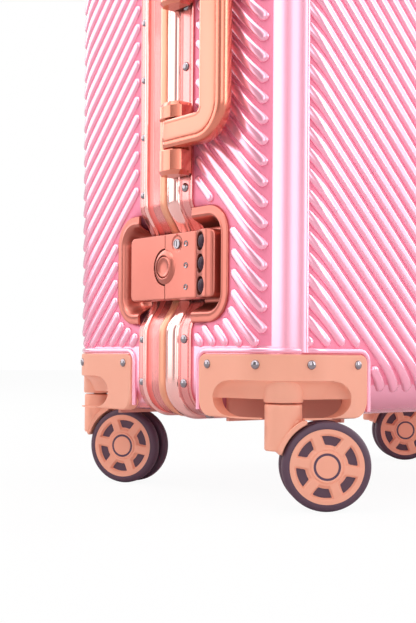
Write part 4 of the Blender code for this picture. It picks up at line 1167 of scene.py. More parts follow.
@dataclass
class Caster:
    """A swivelling fork with its fender, and the twin wheel on its axle."""

    where: str
    tyre_radius: float = 0.028
    half_width: float = 0.0122
    tyre_width: float = 0.0080
    rim_radius: float = 0.0233
    stem_radius: float = 0.0118
    fender_in: float = 0.0292
    fender_thickness: float = 0.0023
    low_angle: float = 14.0
    high_angle: float = 66.0
    spokes: int = 6
    rim_sides: int = 192
    ring_low: float = 0.0069
    ring_high: float = 0.0086
    pocket_low: float = 0.0112
    pocket_high: float = 0.0205
    slot_low: float = 0.0163
    slot_high: float = 0.0187
    slot_depth: float = 0.0042
    slot_margin: float = 0.0034
    spoke_half: float = 0.0024
    groove_radius: float = 0.0104
    rounding: float = 0.0009
    web_half: float = 0.0033

    def __post_init__(self) -> None:
        """Read the axle and the swivel axis from the joints."""
        hub = joint_place(f"roll_{self.where}")
        x, y = swivel_axis(self.where)
        trail = hub[:2] - np.array([x, y])
        self.trail = float(np.hypot(*trail))
        self.ahead = np.array([*(trail / self.trail), 0.0])
        self.axle = np.cross([0.0, 0.0, 1.0], self.ahead)
        self.hub = np.array([hub[0], hub[1], self.tyre_radius])
        self.stem_top = node_box(f"caster_fork_{self.where}")[1][2] - KINGPIN_HEIGHT

    def place(self, along: Array, across: Array, up: Array) -> Array:
        """Points from distances along the trail from the axle, across it, and height."""
        return (self.hub * [1, 1, 0] + along[..., None] * self.ahead + across[..., None] * self.axle
                + up[..., None] * np.array([0, 0, 1.0]))

    def stem_floor(self, along: Array) -> Array:
        """Height of the fender's inside: axle height + sqrt(R^2 - along^2), no lower than 37.2 mm."""
        return self.tyre_radius + np.sqrt(np.maximum((self.fender_in + 0.0008) ** 2 - along**2, 0.0092**2))

    def stem(self, skin: Skin) -> None:
        """The upright stem: rings of a superellipse from its centre below, up the side, to the top."""
        turn = np.linspace(0, 2 * np.pi, 64, endpoint=False)
        cos, sin = np.cos(turn), np.sin(turn)
        centre = -self.trail
        rings = []
        for share in (0.02, 0.35, 0.7, 0.94, 1.0):
            along = centre + self.stem_radius * share * cos
            lift = self.rounding * (share > 0.95)
            rings.append(self.place(along, self.stem_radius * share * sin, self.stem_floor(along) + lift))
        for share in np.linspace(0.1, 1.0, 9):
            along = centre + self.stem_radius * cos
            low = self.stem_floor(along) + self.rounding
            height = low + (self.stem_top - self.rounding - low) * share
            rings.append(self.place(along, self.stem_radius * sin, height))
        for inset, drop in ((0.0003, 0.0003), (self.rounding, 0.0)):
            r = self.stem_radius - inset
            rings.append(self.place(centre + r * cos, r * sin, np.full(64, self.stem_top - drop)))
        for radius, height in ((0.005, self.stem_top), (0.005, self.stem_top + 0.006)):
            rings.append(self.place(centre + radius * cos, radius * sin, np.full(64, height)))
        skin.closed_stack(np.array(rings))

    def fender(self, skin: Skin) -> None:
        """The curved guard ahead of the tyres: a rounded band with raised lips, swept around the axle.

        The n-th ring from either end is drawn in to its middle radius by the taper
        sqrt(1 - (1 - n / 3)^2), at least sqrt(0.15), and its width by 0.86 + 0.14 * taper.
        """
        angles = np.radians(180 - np.linspace(self.low_angle, self.high_angle, 30))
        ends = np.minimum(np.arange(30), np.arange(30)[::-1]) / 3.0
        taper = np.sqrt(np.clip(1 - (1 - np.clip(ends, 0, 1)) ** 2, 0.15, 1))
        inner, outer = self.fender_in, self.fender_in + self.fender_thickness
        half = self.half_width + 0.0004
        lip = 0.0009
        section = [(-half, inner), (half, inner), (half, outer + lip - 0.0004), (half - 0.0004, outer + lip),
                   (half - 0.0013, outer + lip), (half - 0.0022, outer), (0.0, outer + 0.0001),
                   (0.0022 - half, outer),
                   (0.0013 - half, outer + lip), (0.0004 - half, outer + lip), (-half, outer + lip - 0.0004)]
        across = np.array([point[0] for point in section])
        radius = np.array([point[1] for point in section])
        middle = (inner + outer) / 2
        r = middle + (radius - middle)[None] * taper[:, None]
        width = across[None] * (0.86 + 0.14 * taper[:, None])
        along = r * np.cos(angles)[:, None]
        up = self.tyre_radius + r * np.sin(angles)[:, None]
        skin.closed_stack(self.place(along, width, up))

    def gusset(self, skin: Skin) -> None:
        """The body between stem and fender: a solid that fills the corner under the stem, and a low bump."""
        angles = np.radians(180 - np.linspace(self.low_angle + 3, self.high_angle - 8, 16))
        turn = np.linspace(0, 2 * np.pi, 28, endpoint=False)
        rings = []
        for angle in angles:
            share = (angle - angles[-1]) / (angles[0] - angles[-1])
            half = 0.0098 + 0.0012 * math.sin(share * math.pi)
            thick = 0.0050 * math.sin(min(1.0, share + 0.18) * math.pi) ** 0.7 + 0.0012
            bulge = np.sign(np.cos(turn)) * np.abs(np.cos(turn)) ** 0.6
            r = self.fender_in + 0.0012 + thick * (0.5 + 0.5 * bulge)
            across = half * np.sign(np.sin(turn)) * np.abs(np.sin(turn)) ** 0.6
            rings.append(self.place(r * math.cos(angle), across, self.tyre_radius + r * math.sin(angle)))
        skin.closed_stack(np.array(rings))

    def web(self, skin: Skin) -> None:
        """The flat arm between the two tyres, from the fender down to the axle's boss."""
        low, high = math.radians(180 - self.low_angle), math.radians(180 - self.high_angle)
        reach = self.fender_in + 0.001
        arc = np.linspace(low, high, 14)
        boss = 0.0070
        around = np.linspace(math.radians(60), math.radians(-130), 14)
        outline = np.concatenate([np.column_stack([reach * np.cos(arc), reach * np.sin(arc)]),
                                  np.column_stack([boss * np.cos(around), boss * np.sin(around)])])
        rings = [self.place(outline[:, 0], np.full(len(outline), side), self.tyre_radius + outline[:, 1])
                 for side in (-self.web_half, self.web_half)]
        skin.closed_stack(np.array(rings))

    def build_fork(self) -> bpy.types.Object:
        """Stem, fender, gusset and web in one piece."""
        skin = Skin()
        self.stem(skin)
        self.fender(skin)
        self.gusset(skin)
        self.web(skin)
        return skin.build(f"caster_{self.where}_fork", [PEACH.make()], 38)

    def rim_height(self, r: Array, turn: Array) -> Array:
        """Depth of the rim's face at a radius and angle.

        The pockets lie between spokes: a bevelled recess, with a deeper arc slot in it.
        """
        sector = 2 * np.pi / self.spokes
        offset = (turn + 0.16) % sector - sector / 2
        chord = np.abs(offset) * r
        room = sector / 2 * r - self.spoke_half
        into = np.minimum(np.minimum(r - self.pocket_low, self.pocket_high - r), room - chord)
        bowl = smooth_step(into, 0.0, 0.0018) * (0.0012 + 0.0012 * smooth_step(r, self.pocket_low, 0.0150))
        slot = np.minimum(np.minimum(r - self.slot_low, self.slot_high - r),
                          room - self.slot_margin - chord)
        height = -bowl - smooth_step(slot, 0.0, 0.0004) * self.slot_depth
        height += 0.0005 * smooth_step(-r, -0.0099, -0.0094)
        groove = np.exp(-((r - self.groove_radius) / 0.0003) ** 2)
        return height - 0.0004 * groove

    def rim(self, side: int) -> Skin:
        """One wheel's face as a polar grid, with its back, hub ring and plain centre disc; the deep slots'
        floors are painted plum as shade.
        """
        radii = np.concatenate([[0.0002, 0.004, 0.0066], np.arange(0.0070, 0.0090, 0.0005),
                                np.arange(0.0090, 0.0232, 0.00042), [self.rim_radius]])
        turn = np.linspace(0, 2 * np.pi, self.rim_sides, endpoint=False)
        r, angle = np.meshgrid(radii, turn, indexing="ij")
        height = self.rim_height(r, angle)
        ring = (r > self.ring_low) & (r < self.ring_high)
        height = np.where(ring, height - 0.0003, height)
        across = side * (self.half_width + height)
        face = self.place(r * np.cos(angle), across, self.tyre_radius + r * np.sin(angle))
        middle_r = (radii[:-1] + radii[1:]) / 2
        # The floors of the deep slots take the plum: painted shade in the openings.
        slot_floor_painted_shade = np.minimum(height[:-1], height[1:]) < -0.0052
        plum = (middle_r > self.ring_low) & (middle_r < self.ring_high)
        slots = np.where(plum, 1, 0)[:, None] + np.where(slot_floor_painted_shade, 1, 0)
        skin = Skin()
        inner = side * (self.half_width - 0.0074)
        back, hub_back = (self.place(radius * np.cos(turn), np.full(self.rim_sides, inner),
                                     self.tyre_radius + radius * np.sin(turn))
                          for radius in (self.rim_radius, 0.0002))
        skin.lattice(face, around=True, slot=np.minimum(slots, 1))
        skin.lattice(np.stack([face[-1], back, hub_back]), around=True)
        skin.lid(range(self.rim_sides))
        skin.lid(range(skin.count - self.rim_sides, skin.count))
        return skin

    def build_wheel(self) -> list[bpy.types.Object]:
        """Two tyres, two rims and the axle of one caster."""
        made = []
        tyres = Skin()
        for side in (-1, 1):
            out, inner, r = self.half_width, self.half_width - self.tyre_width, self.tyre_radius
            profile = [(inner + 0.0004, self.rim_radius - 0.0004), (inner, self.rim_radius + 0.0006),
                       (inner, r - 0.0026), (inner + 0.0004, r - 0.0012), (inner + 0.0013, r - 0.0003),
                       (inner + 0.0024, r), (out - 0.0030, r), (out - 0.0017, r - 0.0003),
                       (out - 0.0006, r - 0.0012), (out - 0.0001, r - 0.0026),
                       (out + 0.0002, self.rim_radius + 0.0009),
                       (out, self.rim_radius + 0.0001), (out - 0.0020, self.rim_radius - 0.0002)]
            turned([(side * a, b) for a, b in profile], self.hub, self.axle, 96, tyres)
            made.append(self.rim(side).build(f"caster_{self.where}_rim_{'inner' if side < 0 else 'outer'}",
                                             [PEACH.make(), PLUM_RING_AND_SLOT_SHADE.make()], 32))
        tyre = tyres.build(f"caster_{self.where}_tyres", [RUBBER.make()], 45)
        bolt = turned([(-0.0060, 0.0034), (0.0060, 0.0034)], self.hub, self.axle, 24)
        axle = bolt.build(f"caster_{self.where}_axle", [CHROME.make()], 40)
        return [tyre, *made, axle]

    def build(self) -> None:
        """Make the caster: the fork rides on the swivel, the wheel on its axle."""
        fork = self.build_fork()
        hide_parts(f"caster_fork_{self.where}")
        hang(fork, f"caster_{self.where}")
        wheel = self.build_wheel()
        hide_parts(f"caster_wheel_{self.where}")
        for piece, slot in zip(wheel, ("tyre", "housing", "housing", "chrome")):
            hang(piece, f"wheel_{self.where}")


# --------------------------------------------------------------------------------------------- locks


@dataclass
class Lock:
    """A combination lock: its tray, case with three dials, key cylinder and button, and the latch."""

    which: str
    tray_flat: float = 0.0062
    tray_slope: float = 0.0078
    tray_sheet: float = 0.0017
    half_height: float = 0.0224
    reach: float = 0.053
    latch_reach: float = 0.041
    flat: float = 0.0034
    crest: float = 0.0070
    seat: float = 0.0068
    dial_radius: float = 0.0065
    dial_half: float = 0.0051
    button_radius: float = 0.0074
    ring_radius: float = 0.0118
    edge_radius: float = 0.0009
    sight_reach: float = 0.0236
    dot_rise: float = 0.0062
    corner: float = 0.0045

    def __post_init__(self) -> None:
        """Read the lock's middle and its dials', key's and pivot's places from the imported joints."""
        low, high = node_box(f"lock_case_{self.which}")
        self.z = float(low[2] + high[2]) / 2
        dials = [joint_place(f"dial_{self.which}_{number}_turn") for number in (1, 2, 3)]
        self.dials = [(DATUM.parting - place[1], place[2] - self.z) for place in dials]
        self.dial_x = dials[0][0]
        key_low, key_high = node_box(f"key_cylinder_{self.which}")
        self.key = (DATUM.parting - (key_low[1] + key_high[1]) / 2, (key_low[2] + key_high[2]) / 2 - self.z)

    def place(self, r: Array, v: Array, height: Array) -> Array:
        """Points from the reach ahead of the parting line, height over the lock's middle, and outwards."""
        return np.stack(np.broadcast_arrays(DATUM.left - height, DATUM.parting - r, self.z + v), axis=-1)

    def tray_surface(self, r: Array, v: Array) -> Array:
        """A flat rim, rounded over outside, that falls on an S curve into the bowl behind the lock."""
        inside = -tray_distance(DATUM.parting - r, self.z + v)
        rim = round_over(inside, 0.0010)
        lip = 0.0004 * np.exp(-((inside - self.tray_flat + 0.0006) / 0.0007) ** 2)
        fall = (OUTLINE.dip - 0.0003) * smooth_step(inside, self.tray_flat, self.tray_flat + self.tray_slope)
        return 0.0018 - rim + lip - fall

    def build_tray(self, half: Half) -> bpy.types.Object:
        """The part of the tray on one half, from the frame's flange to the tray's outer edge."""
        near, far = ((FRONT_FLANGE + 0.0006, TRAY_FRONT) if half is Half.FRONT
                     else (-REAR_FLANGE - 0.0006, -TRAY_REAR))
        share = np.linspace(0, 1, 60)
        u = near + (far - near) * (1 - (1 - share) ** 1.3)
        past = np.maximum(np.abs(u) - (abs(far) - TRAY_CORNER), 0)
        span = TRAY_HALF_HEIGHT - TRAY_CORNER + other_leg(TRAY_CORNER, past)
        skin = plate(u, -span, span, 110, self.tray_surface,
                     lambda r, v: self.tray_surface(r, v) - self.tray_sheet, self.place)
        return skin.build(f"lock_{self.which}_tray_{half.word}", [SATIN.make()], 40)

    def pocket(self, r: Array, v: Array) -> Array:
        """1 inside the openings around the dials, 0 outside."""
        found = np.zeros(np.broadcast(r, v).shape)
        for reach, height in self.dials:
            away = rounded_box_distance(r - reach + 0.0022, v - height, 0.0052, 0.0056, 0.0042)
            found = np.maximum(found, 1 - smooth_step(away, -0.0003, 0.0006))
        return found

    def case_surface(self, r: Array, v: Array) -> Array:
        """The lock case: a flat plate, then a flank that rises to a ridge, and a bevel down beyond it."""
        edge = np.minimum(np.minimum(self.half_height - np.abs(v), self.reach - r), r + 0.0004)
        edge = np.minimum(edge, -rounded_box_distance(r, v, self.reach, self.half_height, self.corner))
        over = round_over(edge, self.edge_radius)
        step = 0.0005 * (smooth_step(r, 0.0330, 0.0334) - smooth_step(r, 0.0338, 0.0372))
        rise = (self.crest - self.flat) * smooth_step(r, 0.0335, 0.0466)
        fall = 0.0040 * smooth_step(r, 0.0484, 0.0512)
        dish = 0.0005 * (1 - smooth_step(np.hypot(r - self.key[0], v - self.key[1]), 0.0052, 0.0058))
        height = self.flat - step + rise - fall - dish
        height = height + (-0.0015 - height) * self.pocket(r, v)
        ring = 1 - smooth_step(np.hypot(r, v), self.ring_radius - 0.0008, self.ring_radius - 0.0002)
        height = height + (-0.0026 - height) * ring
        return height - over

    def latch_surface(self, r: Array, v: Array) -> Array:
        """The latch cover: flat, rounded at its corners, and cut round the button's ring."""
        edge = -rounded_box_distance(r, v, self.latch_reach, self.half_height, self.corner)
        edge = np.minimum(edge, -r + 0.0004)
        over = round_over(edge, self.edge_radius)
        ring = 1 - smooth_step(np.hypot(r, v), self.ring_radius + 0.0004, self.ring_radius + 0.0010)
        height = self.flat - over
        return height + (-0.0032 - height) * ring

    def slab(self, r: Array, surface: Callable[[Array, Array], Array], end: float, base: float, name: str
             ) -> bpy.types.Object:
        """A plate with its far corners rounded, between the parting line and end."""
        near = np.maximum(np.abs(r) - (abs(end) - self.corner), 0)
        span = self.half_height - self.corner + other_leg(self.corner, near)
        return plate(r, -span, span, 118, surface, base, self.place).build(name, [SATIN.make()], 34)

    def build_button(self) -> tuple[bpy.types.Object, bpy.types.Object]:
        """The bevelled ring on the lock case, and the dished button in it."""
        seam, out = np.array([DATUM.left, DATUM.parting, self.z]), np.array([-1.0, 0, 0])
        r, b = self.ring_radius, self.button_radius
        ring = turned([(-0.0022, r), (self.flat - 0.0002, r), (self.flat + 0.0003, r - 0.0006),
                       (self.flat + 0.0016, r - 0.0026), (self.flat + 0.0018, b + 0.0010),
                       (self.flat + 0.0015, b + 0.0004), (-0.0012, b + 0.0004), (-0.0012, 0.0003)],
                      seam, out, 96).build(f"lock_{self.which}_button_ring", [SATIN.make()], 30)
        top = self.flat + 0.0016
        button = turned([(0.0012, b), (top - 0.0006, b), (top - 0.0001, b - 0.0005), (top, b - 0.0011),
                         (top - 0.0002, b - 0.0016), (top - 0.0007, b - 0.0024), (top - 0.0010, b * 0.4),
                         (top - 0.0010, 0.0003)], seam, out, 96)
        return ring, button.build(f"lock_{self.which}_button", [SATIN.make()], 30)

    def build_dial(self, number: int) -> bpy.types.Object:
        """A barrel-shaped dial: radius = R * (0.45 + 0.55 * sqrt(1 - share^2)), with ten shallow flutes."""
        reach, height = self.dials[number - 1]
        share = np.sin(np.linspace(-np.pi / 2, np.pi / 2, 25))
        turn = np.linspace(0, 2 * np.pi, 120, endpoint=False)
        radius = self.dial_radius * (0.45 + 0.55 * np.sqrt(1 - share**2 * 0.999))[:, None]
        flutes = 0.00022 * (1 - np.abs(share))[:, None] * (0.5 + 0.5 * np.cos(10 * turn))[None] ** 4
        radius = radius - flutes
        x = self.dial_x + radius * np.cos(turn)
        y = DATUM.parting - reach + radius * np.sin(turn)
        z = np.broadcast_to((self.z + height + self.dial_half * share)[:, None], x.shape)
        skin = Skin()
        skin.closed_stack(np.stack([x, y, z], axis=-1))
        return skin.build(f"lock_{self.which}_dial_{number}", [DIAL.make()], 50)

    def build_key(self) -> bpy.types.Object:
        """The key cylinder's polished face, with a ring, and the key slot as a thin black bar painted as its
        shade.
        """
        centre = self.place(np.array(self.key[0]), np.array(self.key[1]), np.array(0.0))
        top, out = self.flat + 0.0003, np.array([-1.0, 0, 0])
        skin = turned([(-0.0018, 0.0035), (top, 0.0035), (top + 0.0004, 0.0032), (top + 0.0004, 0.0028),
                       (top, 0.0025), (top, 0.0002)], centre, out, 48)
        slot = np.array([[-0.0004, -0.0019], [0.0004, -0.0019], [0.0004, 0.0019], [-0.0004, 0.0019]])
        rings = [self.place(self.key[0] + slot[:, 0], self.key[1] + slot[:, 1], np.full(4, h))
                 for h in (top - 0.0005, top + 0.0001)]
        # The key slot is a thin black bar on the face: painted shade where the keyway opens.
        skin.closed_stack(np.array(rings), slot=1)
        return skin.build(f"lock_{self.which}_key_face", [CHROME.make(), BLACK_MOULDING_AND_KEYWAY_SHADE.make()], 30)

    def build_trims(self) -> list[bpy.types.Object]:
        """The three polished sights beside the dials, and the small red dot over the key."""
        out = np.array([-1.0, 0, 0])
        sights, f = Skin(), self.flat
        for _, height in self.dials:
            centre = self.place(np.array(self.sight_reach), np.array(height), np.array(0.0))
            turned([(0.0, 0.0021), (f + 0.0002, 0.0021), (f + 0.0006, 0.0018), (f + 0.0004, 0.0013),
                    (f - 0.0002, 0.0006), (f - 0.0003, 0.0001)], centre, out, 32, sights)
        dot_at = self.place(np.array(self.key[0]), np.array(self.key[1] + self.dot_rise), np.array(0.0))
        dot = turned([(self.flat - 0.0010, 0.0007), (self.flat + 0.0001, 0.0007),
                      (self.flat + 0.0002, 0.0005),
                      (self.flat + 0.0002, 0.0001)], dot_at, out, 16)
        return [sights.build(f"lock_{self.which}_sights", [CHROME.make()], 35),
                dot.build(f"lock_{self.which}_dot", [RED.make()], 35)]

    def build(self) -> None:
        """Make the lock and hang each piece on its own body."""
        for half in Half:
            tray = self.build_tray(half)
            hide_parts(f"lock_tray_{half.word}_{self.which}")
            hang(tray, half.value)
        bend = self.corner * (1 - np.sin(np.linspace(0, np.pi / 2, 14)))
        near = np.linspace(0.0003, 0.003, 10)
        r = np.unique(np.concatenate([near, np.arange(0.003, self.reach - self.corner, 0.0005),
                                      self.reach - bend]))
        case = self.slab(r, self.case_surface, self.reach, -self.seat, f"lock_{self.which}_case")
        ring, button = self.build_button()
        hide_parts(f"lock_case_{self.which}")
        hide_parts(f"lock_button_{self.which}")
        r = np.concatenate([near, np.arange(0.0035, self.latch_reach - self.corner, 0.0005),
                            self.latch_reach - bend])
        latch = self.slab(-r, self.latch_surface, self.latch_reach, -0.0043, f"lock_{self.which}_latch")
        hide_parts(f"latch_cover_{self.which}")
        key = self.build_key()
        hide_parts(f"key_cylinder_{self.which}")
        for piece in (case, ring, *self.build_trims()):
            hang(piece, "front_half")
        hang(button, f"button_{self.which}")
        hang(latch, f"latch_{self.which}")
        hang(key, f"key_{self.which}")
        for number in (1, 2, 3):
            dial = self.build_dial(number)
            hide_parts(f"lock_dial_{self.which}_{number}")
            hang(dial, f"dial_{self.which}_{number}")


# ------------------------------------------------------------------------------------------- handles


@dataclass
class CarryHandle:
    """A folding bail handle and its two bracket blocks; U is away from the case, V the way it folds."""

    which: str
    span: float = 0.108
    length: float = 0.047
    bend: float = 0.014
    arm_scale: float = 0.84
    inner_reach: float = 0.0215
    outer_reach: float = 0.0270
    bracket_half: float = 0.012
    lobe_low: float = -0.0085
    lobe_top: float = 0.0045

    def __post_init__(self) -> None:
        """Read the pivot from the joint and set the three directions."""
        self.pivot = joint_place(f"{self.which}_handle_hinge")
        side = self.which == "side"
        self.out = np.array([-1.0, 0, 0]) if side else np.array([0, 0, 1.0])
        self.fold = np.array([0, -1.0, 0])
        self.along = np.array([0, 0, 1.0]) if side else np.array([1.0, 0, 0])

    def place(self, u: Array, v: Array, w: Array) -> Array:
        """Points from distances out, along the fold, and along the span."""
        u, v, w = np.broadcast_arrays(u, v, w)
        return self.pivot + u[..., None] * self.out + v[..., None] * self.fold + w[..., None] * self.along

    def section(self) -> Array:
        """The bail's outline as (out, across) with two fine grooves on its outer face, in metres."""
        loop = [(-5, -10.2), (-5, 10.2), (-4.3, 11.3), (-2.8, 12), (1.0, 12), (2.6, 11.7), (3.9, 10.9),
                (4.6, 9.6), (4.85, 8.2), (4.9, 6.9), (4.8, 6.55), (4.35, 6.3), (4.35, 6.0), (4.95, 5.7),
                (5.15, 5.0),
                (5.3, 2.0), (5.3, -2.0), (5.2, -5.8), (5.1, -7.6), (4.7, -7.9), (4.7, -8.15), (5.0, -8.5),
                (4.9, -9.6), (4.2, -10.9), (2.8, -11.8), (1.0, -12), (-2.8, -12), (-4.3, -11.3)]
        return np.array(loop) / 1000

    def build_bail(self) -> bpy.types.Object:
        """The section carried along the arms, round both bends and along the grip."""
        half = self.span / 2
        centre = np.array([self.length - self.bend, half - self.bend])
        stations = [((v, half), (0.0, 1.0), self.arm_scale, thick) for v, thick in
                    ((-0.0047, 0.40), (-0.0042, 0.66), (-0.0030, 0.86), (-0.0015, 0.97), (0.0, 1.0),
                     (0.008, 1.0),
                     (0.016, 1.0), (0.024, 1.0))]
        for turn in np.linspace(0, np.pi / 2, 15):
            share = turn / (np.pi / 2)
            at = centre + self.bend * np.array([math.sin(turn), math.cos(turn)])
            wide = self.arm_scale + (1 - self.arm_scale) * share
            stations.append((tuple(at), (math.sin(turn), math.cos(turn)), wide, 1.0))
        for step in np.linspace(0.2, 1.0, 5)[:-1]:
            stations.append(((self.length, centre[1] * (1 - step)), (1.0, 0.0), 1.0, 1.0))
        stations.append(((self.length, 0.0), (1.0, 0.0), 1.0, 1.0))
        stations += [((v, -w), (nv, -nw), wide, thick) for (v, w), (nv, nw), wide, thick in stations[-2::-1]]
        loop = self.section()
        rings = []
        for (v, w), (nv, nw), wide, thick in stations:
            across = loop[:, 1] * wide
            rings.append(self.place(loop[:, 0] * thick, v + nv * across, w + nw * across))
        skin = Skin()
        skin.closed_stack(np.array(rings))
        return skin.build(f"{self.which}_handle_bail", [LACQUER.make()], 26)

    def block(self, skin: Skin, outline: list[tuple[float, float]], low: float, high: float,
              chamfers: tuple[float, float]) -> None:
        """A prism along the span, drawn in at either end by its own chamfer."""
        loop = np.array(outline)
        middle = loop.mean(axis=0)
        size = np.abs(loop - middle).max(axis=0)
        rings = []
        first, last = chamfers
        for w, inset in ((low, first), (low + first, 0.0), (high - last, 0.0), (high, last)):
            drawn = middle + (loop - middle) * (1 - inset / size)
            drawn[:, 0] = np.where(loop[:, 0] < self.lobe_low + 0.0005, loop[:, 0], drawn[:, 0])
            rings.append(self.place(drawn[:, 0], drawn[:, 1], np.full(len(loop), w)))
        skin.closed_stack(np.array(rings))

    def build_bracket(self, end: str, sign: int) -> bpy.types.Object:
        """A foot plate with two faceted lobes and the pin between them."""
        skin = Skin()
        middle, half, arm = sign * self.span / 2, self.bracket_half, 0.0105
        below = self.outer_reach if sign < 0 else self.inner_reach
        above = self.inner_reach if sign < 0 else self.outer_reach
        low, top = self.lobe_low, self.lobe_top
        upper = [(low, half), (-0.0004, half), (0.0006, half - 0.0005), (top - 0.0004, half - 0.0056),
                 (top, half - 0.0066)]
        lobe = upper + [(u, -v) for u, v in reversed(upper)]
        self.block(skin, lobe, middle - below, middle - arm, (0.0028, 0.0004))
        self.block(skin, lobe, middle + arm, middle + above, (0.0004, 0.0028))
        plate_low, plate_top, plate_half = low - 0.0003, low + 0.0019, half - 0.0002
        plate_loop = [(plate_low, plate_half), (plate_top, plate_half), (plate_top, -plate_half),
                      (plate_low, -plate_half)]
        self.block(skin, plate_loop, middle - below + 0.001, middle + above - 0.001, (0.0002, 0.0002))
        turned([(0.003 - below, 0.0022), (above - 0.003, 0.0022)], self.place(0.0, 0.0, middle), self.along,
               20, skin)
        return skin.build(f"{self.which}_handle_block_{end}", [LACQUER.make()], 26)

    def build(self) -> None:
        """Make the bail and its two brackets."""
        bail = self.build_bail()
        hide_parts(f"{self.which}_handle")
        hang(bail, f"{self.which}_handle")
        for end, sign in (("a", -1), ("b", 1)):
            block = self.build_bracket(end, sign)
            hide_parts(f"{self.which}_handle_bracket_{end}")
            hang(block, "front_half")


# ---------------------------------------------------------------------------------- telescopic handle


@dataclass
class TrolleyGrip:
    """The grip of the telescopic handle with a recess for its button."""

    edge: float = 0.0055
    well_gap: float = 0.0003
    sides: int = 96

    def ring(self, half_x: float, half_y: float, radius: float, centre: Array, z: float) -> Array:
        """A rounded rectangle: points where each ray from the centre meets its outline."""
        turn = np.linspace(0, 2 * np.pi, self.sides, endpoint=False) + 0.001
        straight = np.array([half_x - radius, half_y - radius])
        corner = np.stack([np.sign(np.cos(turn)) * straight[0], np.sign(np.sin(turn)) * straight[1]], axis=1)
        xy = centre[:2] + corner + radius * np.stack([np.cos(turn), np.sin(turn)], axis=1)
        return np.column_stack([xy, np.full(self.sides, z)])

    def build(self) -> None:
        """Stack the grip's outlines from its underside up, in to the button's well and down to its floor."""
        low, high = node_box("trolley_grip")
        button_low, button_high = node_box("trolley_button")
        centre = (low + high) / 2
        half = (high - low) / 2
        rings = []
        for inset, z in ((0.0025, low[2]), (0.0007, low[2] + 0.0007), (0.0, low[2] + 0.0025)):
            rings.append(self.ring(half[0] - inset, half[1] - inset, 0.0090 - inset, centre, z))
        for turn in np.linspace(0, np.pi / 2, 8):
            inset = self.edge * (1 - math.cos(turn))
            rings.append(self.ring(half[0] - inset, half[1] - inset, 0.0090 - inset * 0.8, centre,
                                   high[2] - self.edge * (1 - math.sin(turn))))
        well = (button_high - button_low) / 2 + self.well_gap
        for grow, drop in ((0.0010, 0.0), (0.0003, 0.0002), (0.0, 0.0008), (0.0, 0.0093)):
            rings.append(self.ring(well[0] + grow, well[1] + grow, 0.0030, centre, high[2] - drop))
        skin = Skin()
        skin.closed_stack(np.array(rings))
        grip = skin.build("trolley_grip_moulding", [BLACK_MOULDING_AND_KEYWAY_SHADE.make()], 35)
        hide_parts("trolley_grip")
        hang(grip, "trolley_grip")


# -------------------------------------------------------------------------------------- lining, stage


@dataclass
class Lining:
    """The cloth lining of one half, stretched inside its shell with shallow creases."""

    half: Half
    crease: float = 0.0011
    spacing: float = 0.006

    def build(self) -> None:
        """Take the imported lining's box and lay cloth in it.

        Each row is the case's outline at an inset; each point moves inwards by a sum of three sine waves.
        """
        node = f"{self.half.word}_lining"
        low, high = node_box(node)
        shell = ShellHalf(self.half, spacing=self.spacing)
        front = self.half is Half.FRONT
        face = low[1] if front else high[1]
        face_in = abs(face - self.half.face)
        edge = OUTLINE.edge - face_in if front else 0.020
        offset = low[0] - DATUM.left
        depth = shell.depth - shell.rim - 0.0006
        straight = np.arange(depth, face_in + edge, -self.spacing)
        turn = np.linspace(0, np.pi / 2, 9)
        bend = np.stack([face_in + edge * (1 - np.sin(turn)), offset + edge * (1 - np.cos(turn))], axis=1)
        rows = wall_rows(straight, bend, offset)
        sheets = []
        for depth_in in (0.0, 0.0010):
            x, z, normals = OUTLINE.loops(rows[:, 1] + depth_in, self.spacing, 8)
            y = self.half.face + self.half.inwards * (rows[:, 0] + depth_in * (rows[:, 1] > offset))
            y = np.broadcast_to(y[:, None], x.shape)
            waves = (np.sin(z * 61 + y * 33) + np.sin(x * 47 - z * 29 + 1.3)
                     + np.sin(y * 88 + z * 17 + 0.4)) / 3
            fade = smooth_step(depth - rows[:, 0], 0.004, 0.020)[:, None]
            move = self.crease * (0.5 + 0.5 * waves) * fade
            x -= normals[None, :, 0] * move
            z -= normals[None, :, 1] * move
            sheets.append(shell.sink(x, y, z, normals, offset + depth_in))
        skin = Skin()
        skin.cup(*sheets)
        cloth = skin.build(f"{self.half.word}_cloth_lining", [CLOTH.make()], 60)
        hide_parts(node)
        hang(cloth, self.half.value)


CAD_FINISHES = {
    "trolley_bezel": BLACK_MOULDING_AND_KEYWAY_SHADE, "trolley_foot": BLACK_MOULDING_AND_KEYWAY_SHADE, "trolley_button": TUBE,
    **{f"hinge_leaf_{half.word}_{which}": ANODISED for half in Half for which in ("lower", "upper")},
    **{f"trolley_{size}_tube_{end}": TUBE
       for size in ("inner", "middle", "outer") for end in ("left", "right")},
}


def dress_packed_nodes() -> None:
    """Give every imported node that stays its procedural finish."""
    for node, finish in CAD_FINISHES.items():
        for slot in frame["nodes"][node].material_slots:
            slot.material = finish.make()


